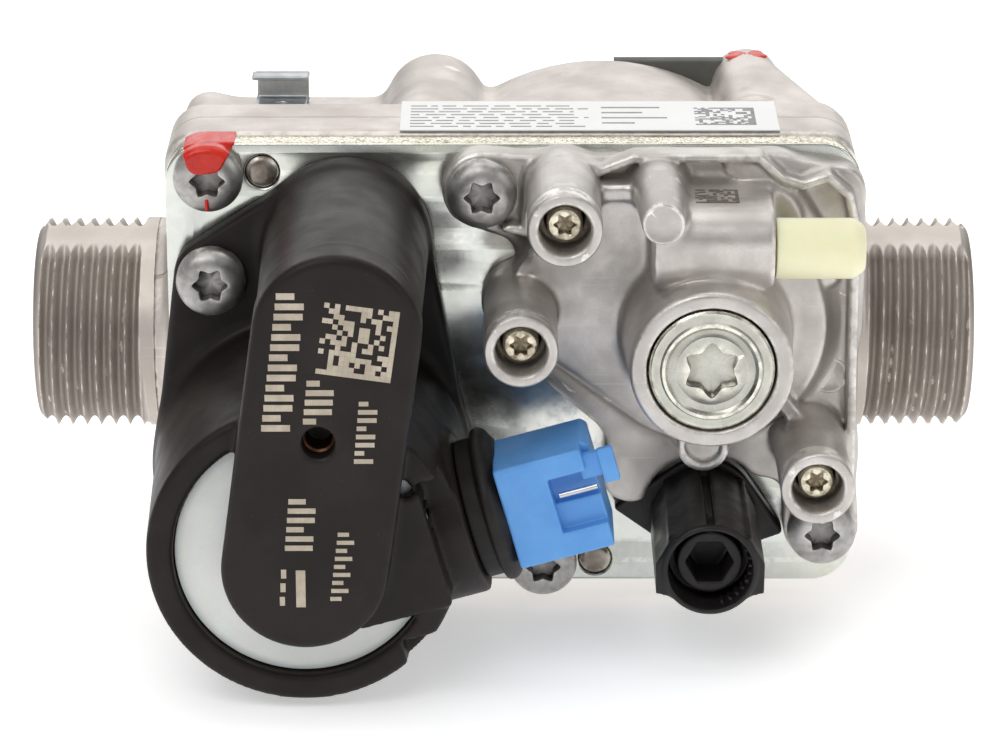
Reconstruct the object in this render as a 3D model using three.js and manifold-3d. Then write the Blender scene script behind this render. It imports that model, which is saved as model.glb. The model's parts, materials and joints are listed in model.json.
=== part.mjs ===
// Combination gas control valve with a twin solenoid coil and a servo pressure regulator.
// Millimetres, Z up. X runs along the pipe with the outlet at +X, and the coil and the regulator face -Y.
// The origin lies on the pipe axis, midway between the two port ends.
import * as THREE from "three";
import { mergeVertices } from "three/addons/utils/BufferGeometryUtils.js";
import Module from "manifold-3d";

const wasm = await Module();
wasm.setup();

// ---------------------------------------------------------------- driving dimensions
// Ports: G 3/4 outside thread.
const portSpan = 117;
const threadRadius = 13.22;
const threadDepth = 1.16;
const threadPitch = 1.814;
const threadTurns = 7;
const portBoreRadius = 9.5;
const portChamfer = 1;

// Casting. The flange is the wide front part, and everything behind it is the back part.
const flangeLeft = -41.3;
const flangeRight = 43;
const flangeTop = 29.8;
const flangeBottom = -27;
const flangeCorner = 4.5;
const flangeDepth = 13;
const castingFront = -16;
const castingBack = 20;
const partition = 4; // wall that holds the two valve seats

// Sheets between the casting and what is bolted to it.
const gasketThickness = 0.5;
const plateThickness = 3.5;
const plateCorner = 5;
const plateOverhang = 0.2;

// Valve centres, as [x, z] on the front face.
const mainCentre = [-23.4, -10.9];
const pilotCentre = [-19, 17.7];
const outletCentre = [12.5, 1.5];
const servoCentre = [24.4, 8.4];
const throttleCentre = [24.6, -16.5];

// Hollows of the casting.
const mainChamberRadius = 13;
const mainSeatRadius = 7;
const mainSeatBack = 4;
const pilotChamberRadius = 6.5;
const pilotSeatRadius = 2;
const outletChamberRadius = 14;
const outletSeatRadius = 8;
const passageDepth = 6;
const diaphragmRadius = 21;
const coverRadius = 24.7;
const drumRadius = 28;
const coverThickness = 2;
const coverRecess = 4;

// Solenoids.
const coilRadius = 18.3;
const coilDraft = 1.1;
const coilWall = 3.1;
const coilFront = -52;
const barThickness = 5;
const barRadius = 9.7;
const pilotCoilRadius = 9.5;
const pilotCoilDraft = 0.5;
const coilFlangeThickness = 3.5;
const discRecess = 1.5;
const mainTubeRadius = 7;
const pilotTubeRadius = 4.5;
const tubeWall = 0.5;
const mainStroke = 2.5;
const pilotStroke = 1.5;
const outletStroke = 3;

// Connector on the coil: its axis leaves the housing to the right and slopes up.
const connectorCentre = [-3.6, -39, -10.1];
const connectorTilt = THREE.MathUtils.degToRad(15.7);
const connectorRadius = 9.25;
const connectorNeckRadius = 7.6;
const plugHeight = 12.8;
const plugDepth = 10.6;
const plugLength = 12.2;
const plugWall = 1.4;

// Servo regulator.
const servoFlangeThickness = 4;
const servoCoverThickness = 4.5;
const servoFront = -42;
const barrelRadius = 9.6;
const barrelBoreRadius = 6.6;
const capRadius = 7.3;
const capStarRadius = 3.35;
const servoDiaphragmRadius = 13;
const nippleRadius = 4.4;
const nippleBoreRadius = 3.1;
const nippleFront = -42;
const tapScrewRadius = 2.1;
const breatherRadius = 3.6;
const breatherLength = 10.8;

// Throttle adjuster.
const throttleFront = -43;
const throttleRadius = 5.6;
const throttleTravel = 3;
const coneLength = 5;
const hexAcrossFlats = 5;
const spindleRadius = 2.2;

// Fasteners.
const screwHeadRadius = 4.2;
const screwHeadHeight = 2.8;
const screwShankRadius = 2;
const screwReach = 10;
const screwStarRadius = 2.1;
const screwEdgeDistance = 4.2;
const pinRadius = 1.9;
const coverScrewHeadRadius = 2;
const coverScrewRadius = 1.2;

// Clearances.
const fitGap = 0.3; // between a piece and the hole or pocket that it sits in
const runGap = 0.3; // round a piece that turns or slides

// ---------------------------------------------------------------- sizes that follow from those
const portEnd = portSpan / 2;
const plateBack = castingFront - gasketThickness;
const plateFront = plateBack - plateThickness;
const flangeBack = castingFront + flangeDepth;
const servoFlangeFront = plateFront - servoFlangeThickness;
const servoCoverFront = servoFlangeFront - servoCoverThickness;
const coilFlangeFront = plateFront - coilFlangeThickness;
const barFront = coilFront - barThickness;
const passageFront = mainSeatBack + partition;
const passageBack = passageFront + passageDepth;
const coverSeat = castingBack - coverRecess;
const diaphragmThickness = 0.6;
const coverFront = coverSeat + diaphragmThickness;
const coverBack = coverFront + coverThickness;
const clampThickness = 1.2;
const clampBack = coverSeat - 0.2;
const diaphragmRoomFront = clampBack - clampThickness - outletStroke - runGap;
const coilInnerRadius = coilRadius - coilWall;
const discFront = coilFront + discRecess;

// Screw and pin places, as [x, z], measured from the edges that they sit beside.
const plateScrews = {
  plate_screw_top: [flangeLeft + 5.7, flangeTop - screwEdgeDistance],
  plate_screw_bottom: [4.9, flangeBottom + 2.6],
};
const coilScrewPlace = [flangeLeft + 6, flangeTop - 16.2];
const servoScrews = {
  servo_screw_left: [-2.6, flangeTop - 5],
  servo_screw_bottom: [flangeRight - 3.9, flangeBottom + 8.4],
};
const blankEar = [flangeRight - 3.6, flangeTop - 3.6]; // corner of the regulator with no screw
const pins = {
  dowel_pin_top: [flangeLeft + 12.2, flangeTop - 3.8],
  dowel_pin_bottom: [11.4, flangeBottom + 2.6],
};
const nipples = {
  inlet_tap_screw: [2, 10.7],
  outlet_tap_screw: [37.2, -6.5],
  servo_tap_screw: [7.1, flangeTop - 4.2],
};
const pilotPort = [8.5, 17.6]; // where the pilot gas crosses into the regulator
const servoPort = servoCentre;

// ---------------------------------------------------------------- geometry helpers
// Facets round a full turn.
const fine = 28;
const medium = 18;
const coarse = 10;
const threadFacets = 24;

// A closed three.js geometry as a manifold solid, with collapsed triangles dropped and faces pointing out.
function solid(geometry) {
  const plain = new THREE.BufferGeometry();
  plain.setAttribute("position", geometry.getAttribute("position"));
  plain.setIndex(geometry.index);
  const merged = mergeVertices(plain, 1e-4);
  const index = merged.index.array;
  const position = merged.getAttribute("position");
  const kept = [];
  let volume = 0;
  const corner = [0, 1, 2].map(() => new THREE.Vector3());
  for (let i = 0; i < index.length; i += 3) {
    const [a, b, c] = index.slice(i, i + 3);
    if (a === b || b === c || c === a) continue;
    kept.push(a, b, c);
    corner.forEach((vertex, k) => vertex.fromBufferAttribute(position, index[i + k]));
    volume += corner[0].dot(corner[1].clone().cross(corner[2]));
  }
  if (volume < 0) kept.reverse();
  return new wasm.Manifold(
    new wasm.Mesh({
      numProp: 3,
      vertProperties: new Float32Array(position.array),
      triVerts: new Uint32Array(kept),
    }),
  );
}

// A solid as a named mesh in a material.
function part(name, shape, material) {
  const mesh = shape.getMesh();
  const geometry = new THREE.BufferGeometry();
  geometry.setAttribute("position", new THREE.BufferAttribute(mesh.vertProperties, 3));
  geometry.setIndex(new THREE.BufferAttribute(mesh.triVerts, 1));
  geometry.computeVertexNormals();
  const made = new THREE.Mesh(geometry, material);
  made.name = name;
  return made;
}

// The same solid after a three.js matrix has moved it.
function placed(shape, matrix) {
  const { vertProperties, triVerts } = shape.getMesh();
  const geometry = new THREE.BufferGeometry();
  geometry.setAttribute("position", new THREE.BufferAttribute(new Float32Array(vertProperties), 3));
  geometry.setIndex(new THREE.BufferAttribute(triVerts, 1));
  return solid(geometry.applyMatrix4(matrix));
}

const shifted = (shape, x, y, z) => placed(shape, new THREE.Matrix4().makeTranslation(x, y, z));

const union = (...shapes) => shapes.flat().reduce((all, next) => all.add(next));
const cut = (shape, ...tools) => shape.subtract(union(...tools));

// A prism whose outline lies in the XZ plane and which runs along Y from front to back.
function prism(outline, front, back) {
  const shape = new THREE.Shape(outline.map(([x, z]) => new THREE.Vector2(x, z)));
  const geometry = new THREE.ExtrudeGeometry(shape, { depth: back - front, bevelEnabled: false });
  return solid(geometry.rotateX(Math.PI / 2).translate(0, back, 0));
}

// A prism whose outline lies in the XY plane and which runs along Z.
function upright(outline, bottom, top) {
  const shape = new THREE.Shape(outline.map(([x, y]) => new THREE.Vector2(x, y)));
  const geometry = new THREE.ExtrudeGeometry(shape, { depth: top - bottom, bevelEnabled: false });
  return solid(geometry.translate(0, 0, bottom));
}

function box(low, high) {
  const size = high.map((value, i) => value - low[i]);
  const middle = high.map((value, i) => (value + low[i]) / 2);
  return solid(new THREE.BoxGeometry(...size).translate(...middle));
}

// A turned piece round the line through [x, z] along Y. Its profile is a list of [radius, y].
function turned(profile, [x, z], segments = medium) {
  const points = profile.map(([radius, y]) => new THREE.Vector2(radius, y));
  return solid(new THREE.LatheGeometry(points, segments).translate(x, 0, z));
}

// A turned piece round the X axis. Its profile is a list of [radius, x].
function turnedAlongX(profile, segments = threadFacets) {
  const points = profile.map(([radius, x]) => new THREE.Vector2(radius, x));
  return solid(new THREE.LatheGeometry(points, segments).rotateZ(-Math.PI / 2));
}

const rod = (centre, radius, front, back, segments = medium) =>
  turned([[0, front], [radius, front], [radius, back], [0, back]], centre, segments);

const taper = (centre, frontRadius, backRadius, front, back, segments = medium) =>
  turned([[0, front], [frontRadius, front], [backRadius, back], [0, back]], centre, segments);

const rodAlongX = (radius, from, to, segments = threadFacets) =>
  turnedAlongX([[0, from], [radius, from], [radius, to], [0, to]], segments);

const ring = (centre, inner, outer, front, back, segments = medium) =>
  turned([[inner, front], [outer, front], [outer, back], [inner, back], [inner, front]], centre, segments);

// The outline of a rope pulled tight round circles given as [x, z, radius].
function beltOutline(circles, segments = medium) {
  const points = circles.flatMap(([x, z, radius]) =>
    Array.from({ length: segments }, (_, i) => {
      const angle = (2 * Math.PI * i) / segments;
      return [x + radius * Math.cos(angle), z + radius * Math.sin(angle)];
    }),
  );
  points.sort((a, b) => a[0] - b[0] || a[1] - b[1]);
  const chain = (list) => {
    const hull = [];
    for (const p of list) {
      while (hull.length > 1) {
        const [a, b] = hull.slice(-2);
        const turn = (b[0] - a[0]) * (p[1] - a[1]) - (b[1] - a[1]) * (p[0] - a[0]);
        if (turn > 1e-6) break;
        hull.pop();
      }
      hull.push(p);
    }
    return hull.slice(0, -1);
  };
  return [...chain(points), ...chain(points.reverse())];
}

const belt = (circles, front, back, segments) => prism(beltOutline(circles, segments), front, back);

const roundedRectangle = (left, bottom, right, top, radius) =>
  beltOutline(
    [
      [left + radius, bottom + radius, radius],
      [right - radius, bottom + radius, radius],
      [right - radius, top - radius, radius],
      [left + radius, top - radius, radius],
    ],
    medium,
  );

// Six-lobed driver recess.
function star(centre, radius, front, back) {
  const lobes = 6;
  const valleyShare = 0.74;
  const outline = Array.from({ length: 2 * lobes }, (_, i) => {
    const angle = (Math.PI * i) / lobes;
    const reach = i % 2 ? radius * valleyShare : radius;
    return [centre[0] + reach * Math.cos(angle), centre[1] + reach * Math.sin(angle)];
  });
  return prism(outline, front, back);
}

// A coil spring round the line through [x, z], of round wire.
function spring(centre, radius, wireRadius, turns, front, back) {
  class Helix extends THREE.Curve {
    getPoint(t, target = new THREE.Vector3()) {
      const angle = 2 * Math.PI * turns * t;
      const y = front + wireRadius + t * (back - front - 2 * wireRadius);
      return target.set(centre[0] + radius * Math.cos(angle), y, centre[1] + radius * Math.sin(angle));
    }
  }
  const section = new THREE.Shape();
  const sides = 4;
  for (let i = 0; i < sides; i += 1) {
    const angle = (2 * Math.PI * i) / sides;
    const [x, y] = [wireRadius * Math.cos(angle), wireRadius * Math.sin(angle)];
    if (i === 0) section.moveTo(x, y);
    else section.lineTo(x, y);
  }
  const stepsPerTurn = 9;
  const steps = Math.round(turns * stepsPerTurn);
  return solid(new THREE.ExtrudeGeometry(section, { steps, extrudePath: new Helix() }));
}

const grown = ([x, z], radius) => [x, z, radius];
const offset = ([x, z], dx, dz) => [x + dx, z + dz];

// ---------------------------------------------------------------- materials
const paint = (color, roughness, metalness) =>
  new THREE.MeshStandardMaterial({ color, roughness, metalness });
const castAluminium = paint(0xb4aaa0, 0.5, 0.85);
const zincPlate = paint(0xc3c6b8, 0.3, 0.9);
const steel = paint(0x9c9a96, 0.35, 0.9);
const blackPlastic = paint(0x1d1a19, 0.5, 0);
const whitePlastic = paint(0xcfcfcb, 0.45, 0);
const bluePlastic = paint(0x5aa3e0, 0.4, 0);
const creamPlastic = paint(0xe4e6c6, 0.4, 0);
const rubber = paint(0x161414, 0.8, 0);
const brass = paint(0xb8a878, 0.35, 0.9);
const copper = paint(0xa85c34, 0.4, 0.8);
const paper = paint(0xececea, 0.7, 0);

// ---------------------------------------------------------------- casting
// One port: thread crests as turned grooves, a plain collar and a chamfered mouth. side is -1 or 1.
function port(side) {
  const rootRadius = threadRadius - threadDepth;
  const profile = [[0, portEnd], [rootRadius - portChamfer / 2, portEnd]];
  const firstCrest = portEnd - portChamfer;
  for (let i = 0; i < threadTurns; i += 1) {
    const crest = firstCrest - i * threadPitch;
    profile.push([threadRadius, crest - threadPitch / 2]);
    profile.push([rootRadius, crest - threadPitch]);
  }
  const collar = firstCrest - threadTurns * threadPitch - threadDepth;
  const rootInside = 8; // how far a port's root runs into the casting
  const root = Math.min(collar, -flangeLeft, flangeRight) - rootInside;
  profile.push([threadRadius, collar], [threadRadius, root], [0, root]);
  return turnedAlongX(profile.map(([radius, x]) => [radius, side * x]));
}

// Outside of the casting.
function castingShell() {
  const [outletX, outletZ] = outletCentre;
  const backLeft = flangeLeft + 3.3;
  const backTop = flangeTop - 5.3;
  const backBottom = flangeBottom + 0.5;
  const humpRadius = 7.2;
  const bossRadius = 4;
  const rightBossRadius = 4.5;
  const backRight = flangeRight - 9.2;
  const flange = prism(
    roundedRectangle(flangeLeft, flangeBottom, flangeRight, flangeTop, flangeCorner),
    castingFront,
    flangeBack,
  );
  const leftBlock = prism(
    roundedRectangle(backLeft, backBottom, outletX, backTop, flangeCorner),
    flangeBack,
    castingBack,
  );
  const drum = rod([outletX, outletZ], drumRadius, flangeBack, castingBack, fine);
  const hump = rod([-9.1, flangeTop - humpRadius], humpRadius, flangeBack, castingBack);
  const leftBossCentre = [backLeft + bossRadius / 2, backTop - 1.5];
  const leftBoss = rod(leftBossCentre, bossRadius, flangeBack, castingBack, coarse);
  const rightBlock = upright(
    [
      [outletX, flangeBack],
      [flangeRight - 3, flangeBack],
      [backRight, castingBack],
      [outletX, castingBack],
    ],
    backBottom + 5,
    flangeTop,
  );
  const boss = rod(
    [backRight - 2.6, flangeTop - rightBossRadius + 0.7],
    rightBossRadius,
    flangeBack,
    castingBack,
    coarse,
  );
  return union(flange, leftBlock, drum, hump, leftBoss, rightBlock, boss, port(-1), port(1));
}

// Inside of the casting: inlet, first seat, passage, second seat, outlet and the pilot branch.
function castingHollows() {
  const past = 1; // how far a cutting tool runs past the face that it opens
  const [mainX, mainZ] = mainCentre;
  const [pilotX, pilotZ] = pilotCentre;
  const [outletX] = outletCentre;
  const seatMargin = 0.4; // the passage is a little wider than the seats that open into it
  const inletEnd = mainX - mainSeatRadius - 1.8;
  const outletStart = outletX + outletChamberRadius - 3;
  const passageLeft = mainX - mainSeatRadius - seatMargin;
  const passageRight = outletStart - 2.5;
  const grooveDepth = 3;
  const grooveHalf = 1.5;
  return [
    rodAlongX(portBoreRadius, -portEnd - past, inletEnd),
    rodAlongX(portBoreRadius, outletStart, portEnd + past),
    rod(mainCentre, mainChamberRadius, castingFront - past, mainSeatBack),
    rod(mainCentre, mainSeatRadius, castingFront, passageFront + past),
    box(
      [passageLeft, passageFront, mainZ - mainSeatRadius - seatMargin],
      [passageRight, passageBack, pilotZ + pilotSeatRadius + seatMargin],
    ),
    rod(outletCentre, outletChamberRadius, castingFront - past, mainSeatBack, fine),
    rod(outletCentre, outletSeatRadius, castingFront, passageFront + past),
    rod(outletCentre, diaphragmRadius, diaphragmRoomFront, castingBack, fine),
    rod(outletCentre, coverRadius + fitGap, coverSeat, castingBack + past, fine),
    rod(pilotCentre, pilotChamberRadius, castingFront - past, flangeBack),
    rod(pilotCentre, pilotSeatRadius, castingFront, passageFront + past, coarse),
    box(
      [pilotX, castingFront - past, pilotPort[1] - grooveHalf],
      [pilotPort[0] + grooveHalf, castingFront + grooveDepth, pilotPort[1] + grooveHalf],
    ),
    throttlePocket(past),
    servoChannel(past),
  ];
}

// Pocket that the throttle cone works in, open into the outlet bore.
function throttlePocket(past) {
  const [x, z] = throttleCentre;
  const pocketRadius = spindleRadius + 3;
  const pocketBack = castingFront + 1 + coneLength + throttleTravel + 3;
  return union(
    rod(throttleCentre, pocketRadius, castingFront - past, pocketBack),
    box(
      [x - pocketRadius + 1, castingFront + 2, z],
      [x + pocketRadius - 1, pocketBack - 0.4, -portBoreRadius / 2],
    ),
  );
}

// Drilling that carries outlet pressure to the regulator's diaphragm.
function servoChannel(past) {
  return rod(servoPort, 2, castingFront - past, 0, coarse);
}

const allScrews = [
  ...Object.values(plateScrews),
  coilScrewPlace,
  ...Object.values(servoScrews),
];

// Holes for the screws and dowels that pass through from the front, between two y values.
function frontHoles(front, back) {
  return [
    ...allScrews.map((place) => rod(place, screwShankRadius + fitGap, front, back, coarse)),
    ...Object.values(pins).map((place) => rod(place, pinRadius + fitGap, front, back, coarse)),
  ];
}

const coverScrewRing = (coverRadius + diaphragmRadius) / 2;
const coverScrewPlaces = [45, 135, 225, 315].map((degrees) => {
  const angle = THREE.MathUtils.degToRad(degrees);
  return offset(outletCentre, coverScrewRing * Math.cos(angle), coverScrewRing * Math.sin(angle));
});
const coverScrewTip = coverSeat - 5;

// Screw holes for the rear cover, between two y values.
const coverHoles = (front, back) =>
  coverScrewPlaces.map((place) => rod(place, coverScrewRadius + fitGap, front, back, coarse));

function valveBody() {
  const blindEnd = plateFront + screwReach + 1.5;
  return cut(
    castingShell(),
    castingHollows(),
    frontHoles(castingFront - 1, blindEnd),
    coverHoles(coverScrewTip - 1, coverSeat + 1),
  );
}

// ---------------------------------------------------------------- sheets on the casting's front
const plateOutline = roundedRectangle(
  flangeLeft + 2 * plateOverhang,
  flangeBottom - plateOverhang,
  flangeRight + plateOverhang,
  flangeTop - plateOverhang,
  plateCorner,
);

// Holes that both the gasket and the plate have, between two y values.
function gasHoles(front, back) {
  return [
    rod(mainCentre, mainTubeRadius + fitGap, front, back),
    rod(pilotCentre, pilotTubeRadius + fitGap, front, back),
    rod(pilotPort, 1.2, front, back, coarse),
    rod(servoPort, 2, front, back, coarse),
    rod(throttleCentre, spindleRadius + 3, front, back),
  ];
}

function bodyGasket() {
  const sheet = prism(plateOutline, plateBack, castingFront);
  const [front, back] = [plateBack - 1, castingFront + 1];
  const outletOpening = rod(outletCentre, outletChamberRadius - 2, front, back);
  return cut(sheet, frontHoles(front, back), gasHoles(front, back), outletOpening);
}

function yokePlate() {
  const sheet = prism(plateOutline, plateFront, plateBack);
  const [front, back] = [plateFront - 1, plateBack + 1];
  return cut(sheet, frontHoles(front, back), gasHoles(front, back));
}

// ---------------------------------------------------------------- fasteners
function screw(place, seat) {
  const head = seat - screwHeadHeight;
  const tip = plateFront + screwReach;
  const profile = [
    [0, head],
    [screwHeadRadius * 0.72, head],
    [screwHeadRadius, head + 0.9],
    [screwHeadRadius, seat],
    [screwShankRadius, seat],
    [screwShankRadius, tip - 0.6],
    [screwShankRadius - 0.6, tip],
    [0, tip],
  ];
  return cut(turned(profile, place, 16), star(place, screwStarRadius, head - 1, head + 1.6));
}

function dowelPin(place) {
  return turned(
    [[0, plateFront - 0.3], [pinRadius - 0.3, plateFront - 0.3], [pinRadius, plateFront],
      [pinRadius, plateFront + screwReach], [0, plateFront + screwReach]],
    place,
    coarse,
  );
}

function coverScrew(place) {
  const headHeight = 1.2;
  const profile = [
    [0, coverScrewTip],
    [coverScrewRadius, coverScrewTip],
    [coverScrewRadius, coverBack],
    [coverScrewHeadRadius, coverBack],
    [coverScrewHeadRadius - 0.4, coverBack + headHeight],
    [0, coverBack + headHeight],
  ];
  return turned(profile, place, coarse);
}

function rearCover() {
  const dishRadius = diaphragmRadius - 2;
  return cut(
    turned(
      [
        [0, coverFront],
        [coverRadius, coverFront],
        [coverRadius, coverBack],
        [dishRadius, coverBack],
        [dishRadius - 2, coverBack - 0.8],
        [0, coverBack - 0.8],
      ],
      outletCentre,
      fine,
    ),
    coverHoles(coverFront - 1, coverBack + 1),
    rod(outletCentre, 1, coverFront - 1, coverBack + 1, coarse),
  );
}

// ---------------------------------------------------------------- coil
const connectorGroup = new THREE.Group();
connectorGroup.position.set(...connectorCentre);
connectorGroup.rotation.y = -connectorTilt;

connectorGroup.updateMatrix();

// A solid made along the connector's own axis, placed where the connector group sits.
const alongConnector = (shape) => placed(shape, connectorGroup.matrix);

const drumEnd = -2.8; // where the connector's round boss ends on its own axis
const collarStart = -0.6;
const collarEnd = 3.2;

function coilHousing() {
  const [mainX, mainZ] = mainCentre;
  const earRadius = 4.6;
  const base = belt(
    [grown(mainCentre, coilRadius + coilDraft), grown(pilotCentre, pilotCoilRadius + pilotCoilDraft),
      grown(coilScrewPlace, earRadius)],
    coilFlangeFront,
    plateFront,
    fine,
  );
  const drum = taper(mainCentre, coilRadius, coilRadius + coilDraft, coilFront, plateFront, fine);
  const tower = taper(pilotCentre, pilotCoilRadius, pilotCoilRadius + pilotCoilDraft, coilFront, plateFront);
  const barCircles = [grown(pilotCentre, barRadius), [mainX + 0.4, mainZ, barRadius]];
  const bar = belt(barCircles, barFront, coilFront + 1);
  const blockBack = coilFront + 22;
  const block = alongConnector(
    box(
      [-20, barFront + 10 - connectorCentre[1], -connectorRadius],
      [drumEnd - 4.4, blockBack - connectorCentre[1], connectorRadius],
    ),
  );
  const boss = alongConnector(
    turnedAlongX([[0, -9], [connectorRadius, -9], [connectorRadius, drumEnd], [connectorNeckRadius, drumEnd],
      [connectorNeckRadius, collarStart - fitGap], [0, collarStart - fitGap]], medium),
  );
  const past = 1;
  return cut(
    union(base, drum, tower, bar, block, boss),
    rod(mainCentre, coilInnerRadius, coilFront + 1, plateFront + past, fine),
    cut(
      rod(mainCentre, coilInnerRadius, coilFront - past, coilFront + 2, fine),
      belt(barCircles, coilFront - 2 * past, coilFront + 1),
    ),
    rod(pilotCentre, pilotCoilRadius - 2, coilFront + 4, plateFront + past),
    rod(coilScrewPlace, screwShankRadius + fitGap, coilFlangeFront - past, plateFront + past, coarse),
    rod([-21.2, 5], 1.9, barFront - past, coilFront + 0.6, coarse),
    alongConnector(rodAlongX(connectorRadius + 0.1, collarStart - fitGap, collarEnd, medium)),
  );
}

// A spool of the coil: a tube with a flange at each end.
function bobbin(centre, inner, outer, front, back) {
  const wall = 1.2;
  return turned(
    [
      [inner, front],
      [outer, front],
      [outer, front + wall],
      [inner + wall, front + wall],
      [inner + wall, back - wall],
      [outer, back - wall],
      [outer, back],
      [inner, back],
      [inner, front],
    ],
    centre,
  );
}

function winding(centre, inner, outer, front, back) {
  const wall = 1.2;
  return ring(
    centre,
    inner + wall + fitGap,
    outer - 1,
    front + wall + fitGap,
    back - wall - fitGap,
  );
}

// Each spool as [centre, inner radius, outer radius, front, back].
const bobbinBack = plateFront - fitGap;
const pilotBobbinFront = coilFront + 4 + fitGap;
const mainSpool = [
  mainCentre,
  mainTubeRadius + fitGap,
  coilInnerRadius - fitGap,
  discFront,
  bobbinBack,
];
const pilotSpool = [
  pilotCentre,
  pilotTubeRadius + fitGap,
  pilotCoilRadius - 2 - fitGap,
  pilotBobbinFront,
  bobbinBack,
];

// ---------------------------------------------------------------- connector
function sealCollar() {
  const rim = connectorRadius - 0.2;
  return turnedAlongX(
    [
      [3, collarStart],
      [rim - 0.8, collarStart],
      [rim, collarStart + 0.8],
      [rim, collarEnd - 1.2],
      [rim - 1.2, collarEnd],
      [3, collarEnd],
      [3, collarStart],
    ],
    medium,
  );
}

const plugStart = collarEnd + fitGap;
const plugEnd = plugStart + plugLength;
const plugFront = -plugDepth / 2 - 2.6;
const plugBack = plugDepth / 2 - 2.6;
const plugBottom = -6;
const plugTop = plugBottom + plugHeight;
const pinHeights = [1.6, -2.2];

function connectorPlug() {
  const windowLeft = plugEnd - 5.3;
  const shell = box([plugStart, plugFront, plugBottom], [plugEnd, plugBack, plugTop]);
  const socket = box(
    [windowLeft - 4, plugFront + plugWall, plugBottom + plugWall],
    [plugEnd + 1, plugBack - plugWall, plugTop - plugWall],
  );
  const window = box(
    [windowLeft, plugFront - 1, plugBottom + 2.6],
    [plugEnd + 1, plugFront + plugWall + 1, plugTop - 2.6],
  );
  const latch = box([plugEnd - 1, plugFront, plugTop - 5], [plugEnd + 2.6, plugFront + 1.2, plugTop - 0.4]);
  const ridge = box(
    [plugStart + 2.2, plugFront - 0.8, plugTop - 1.6],
    [plugStart + 6.6, plugFront + 0.5, plugTop],
  );
  return cut(union(cut(shell, socket, window), latch, ridge), contactSlots());
}

function contactSlots() {
  return pinHeights.map((height) => contactBlade(height, 0.35));
}

function contactBlade(height, gap = 0) {
  const middle = (plugFront + plugBack) / 2;
  return box(
    [plugStart + 1 - gap, middle - 2 - gap, height - 0.4 - gap],
    [plugEnd - 1 + gap, middle + 2 + gap, height + 0.4 + gap],
  );
}

// ---------------------------------------------------------------- solenoid inner parts
// Closed tube that keeps the gas in: open to the chamber at the back, shut at the front.
function coreTube(centre, radius, front, lipRadius) {
  return turned(
    [
      [0, front],
      [radius, front],
      [radius, plateBack - 0.6],
      [lipRadius, plateBack - 0.6],
      [lipRadius, plateBack],
      [radius - tubeWall, plateBack],
      [radius - tubeWall, front + tubeWall],
      [0, front + tubeWall],
    ],
    centre,
  );
}

const mainTubeFront = discFront + 3;
const pilotTubeFront = pilotBobbinFront + 3;
const mainStopBack = mainTubeFront + 12;
const pilotStopBack = pilotTubeFront + 8;
const mainBoreRadius = mainTubeRadius - tubeWall;
const pilotBoreRadius = pilotTubeRadius - tubeWall;

function coreStop(centre, boreRadius, front, back) {
  return rod(centre, boreRadius - fitGap, front + tubeWall + fitGap, back, coarse);
}

// The moving iron core, with the shoulder that carries its rubber seal.
function plunger(centre, boreRadius, front, sealFront, sealRadius) {
  return turned(
    [
      [0, front],
      [boreRadius - runGap, front],
      [boreRadius - runGap, sealFront - 3],
      [boreRadius * 0.5, sealFront - 3],
      [boreRadius * 0.5, sealFront - 1.2],
      [sealRadius - 0.6, sealFront - 1.2],
      [sealRadius - 0.6, sealFront],
      [0, sealFront],
    ],
    centre,
  );
}

const sealThickness = 1.6;
const mainSealRadius = mainSeatRadius + 2;
const mainSealFront = mainSeatBack - sealThickness;
const mainPlungerFront = mainStopBack + mainStroke + 0.5;
const pilotSealRadius = pilotSeatRadius + 1.2;
const pilotSealFront = flangeBack - sealThickness;
const pilotPlungerFront = pilotStopBack + pilotStroke + 0.5;

const seal = (centre, radius, front) => rod(centre, radius, front, front + sealThickness, medium);

// ---------------------------------------------------------------- outlet valve and its diaphragm
const outletDiscFront = mainSeatBack - 3;
const stemRadius = 1.6;
const clampRadius = diaphragmRadius * 0.7;

function outletDisc() {
  return ring(outletCentre, stemRadius + 0.2, outletSeatRadius + 2, outletDiscFront, mainSeatBack, medium);
}

function outletStem() {
  return turned(
    [
      [0, outletDiscFront - 2],
      [stemRadius, outletDiscFront - 2],
      [stemRadius, clampBack - clampThickness - 0.2],
      [0, clampBack - clampThickness - 0.2],
    ],
    outletCentre,
    coarse,
  );
}

const clampPlate = () => rod(outletCentre, clampRadius, clampBack - clampThickness, clampBack, medium);

const mainDiaphragm = () =>
  cut(
    rod(outletCentre, coverRadius - 0.2, coverSeat, coverFront, fine),
    coverHoles(coverSeat - 1, coverFront + 1),
  );

// ---------------------------------------------------------------- servo regulator
function nippleBoss(place) {
  return rod(place, nippleRadius, nippleFront, plateFront, 24);
}

function nippleBore(place) {
  return union(
    rod(place, nippleBoreRadius, nippleFront - 1, nippleFront + 5, 20),
    rod(place, tapScrewRadius + fitGap, nippleFront, nippleFront + 13, coarse),
    rod(place, 1, nippleFront, plateFront + 1, 10),
  );
}

const armLeft = 17.6;
const armRight = 31.8;
const armBottom = 16.6;
const armTop = 26.2;
const armFront = servoCoverFront - 10;
const breatherZ = (armBottom + armTop) / 2 - 0.4;
const breatherY = armFront + breatherRadius + 0.7;

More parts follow.
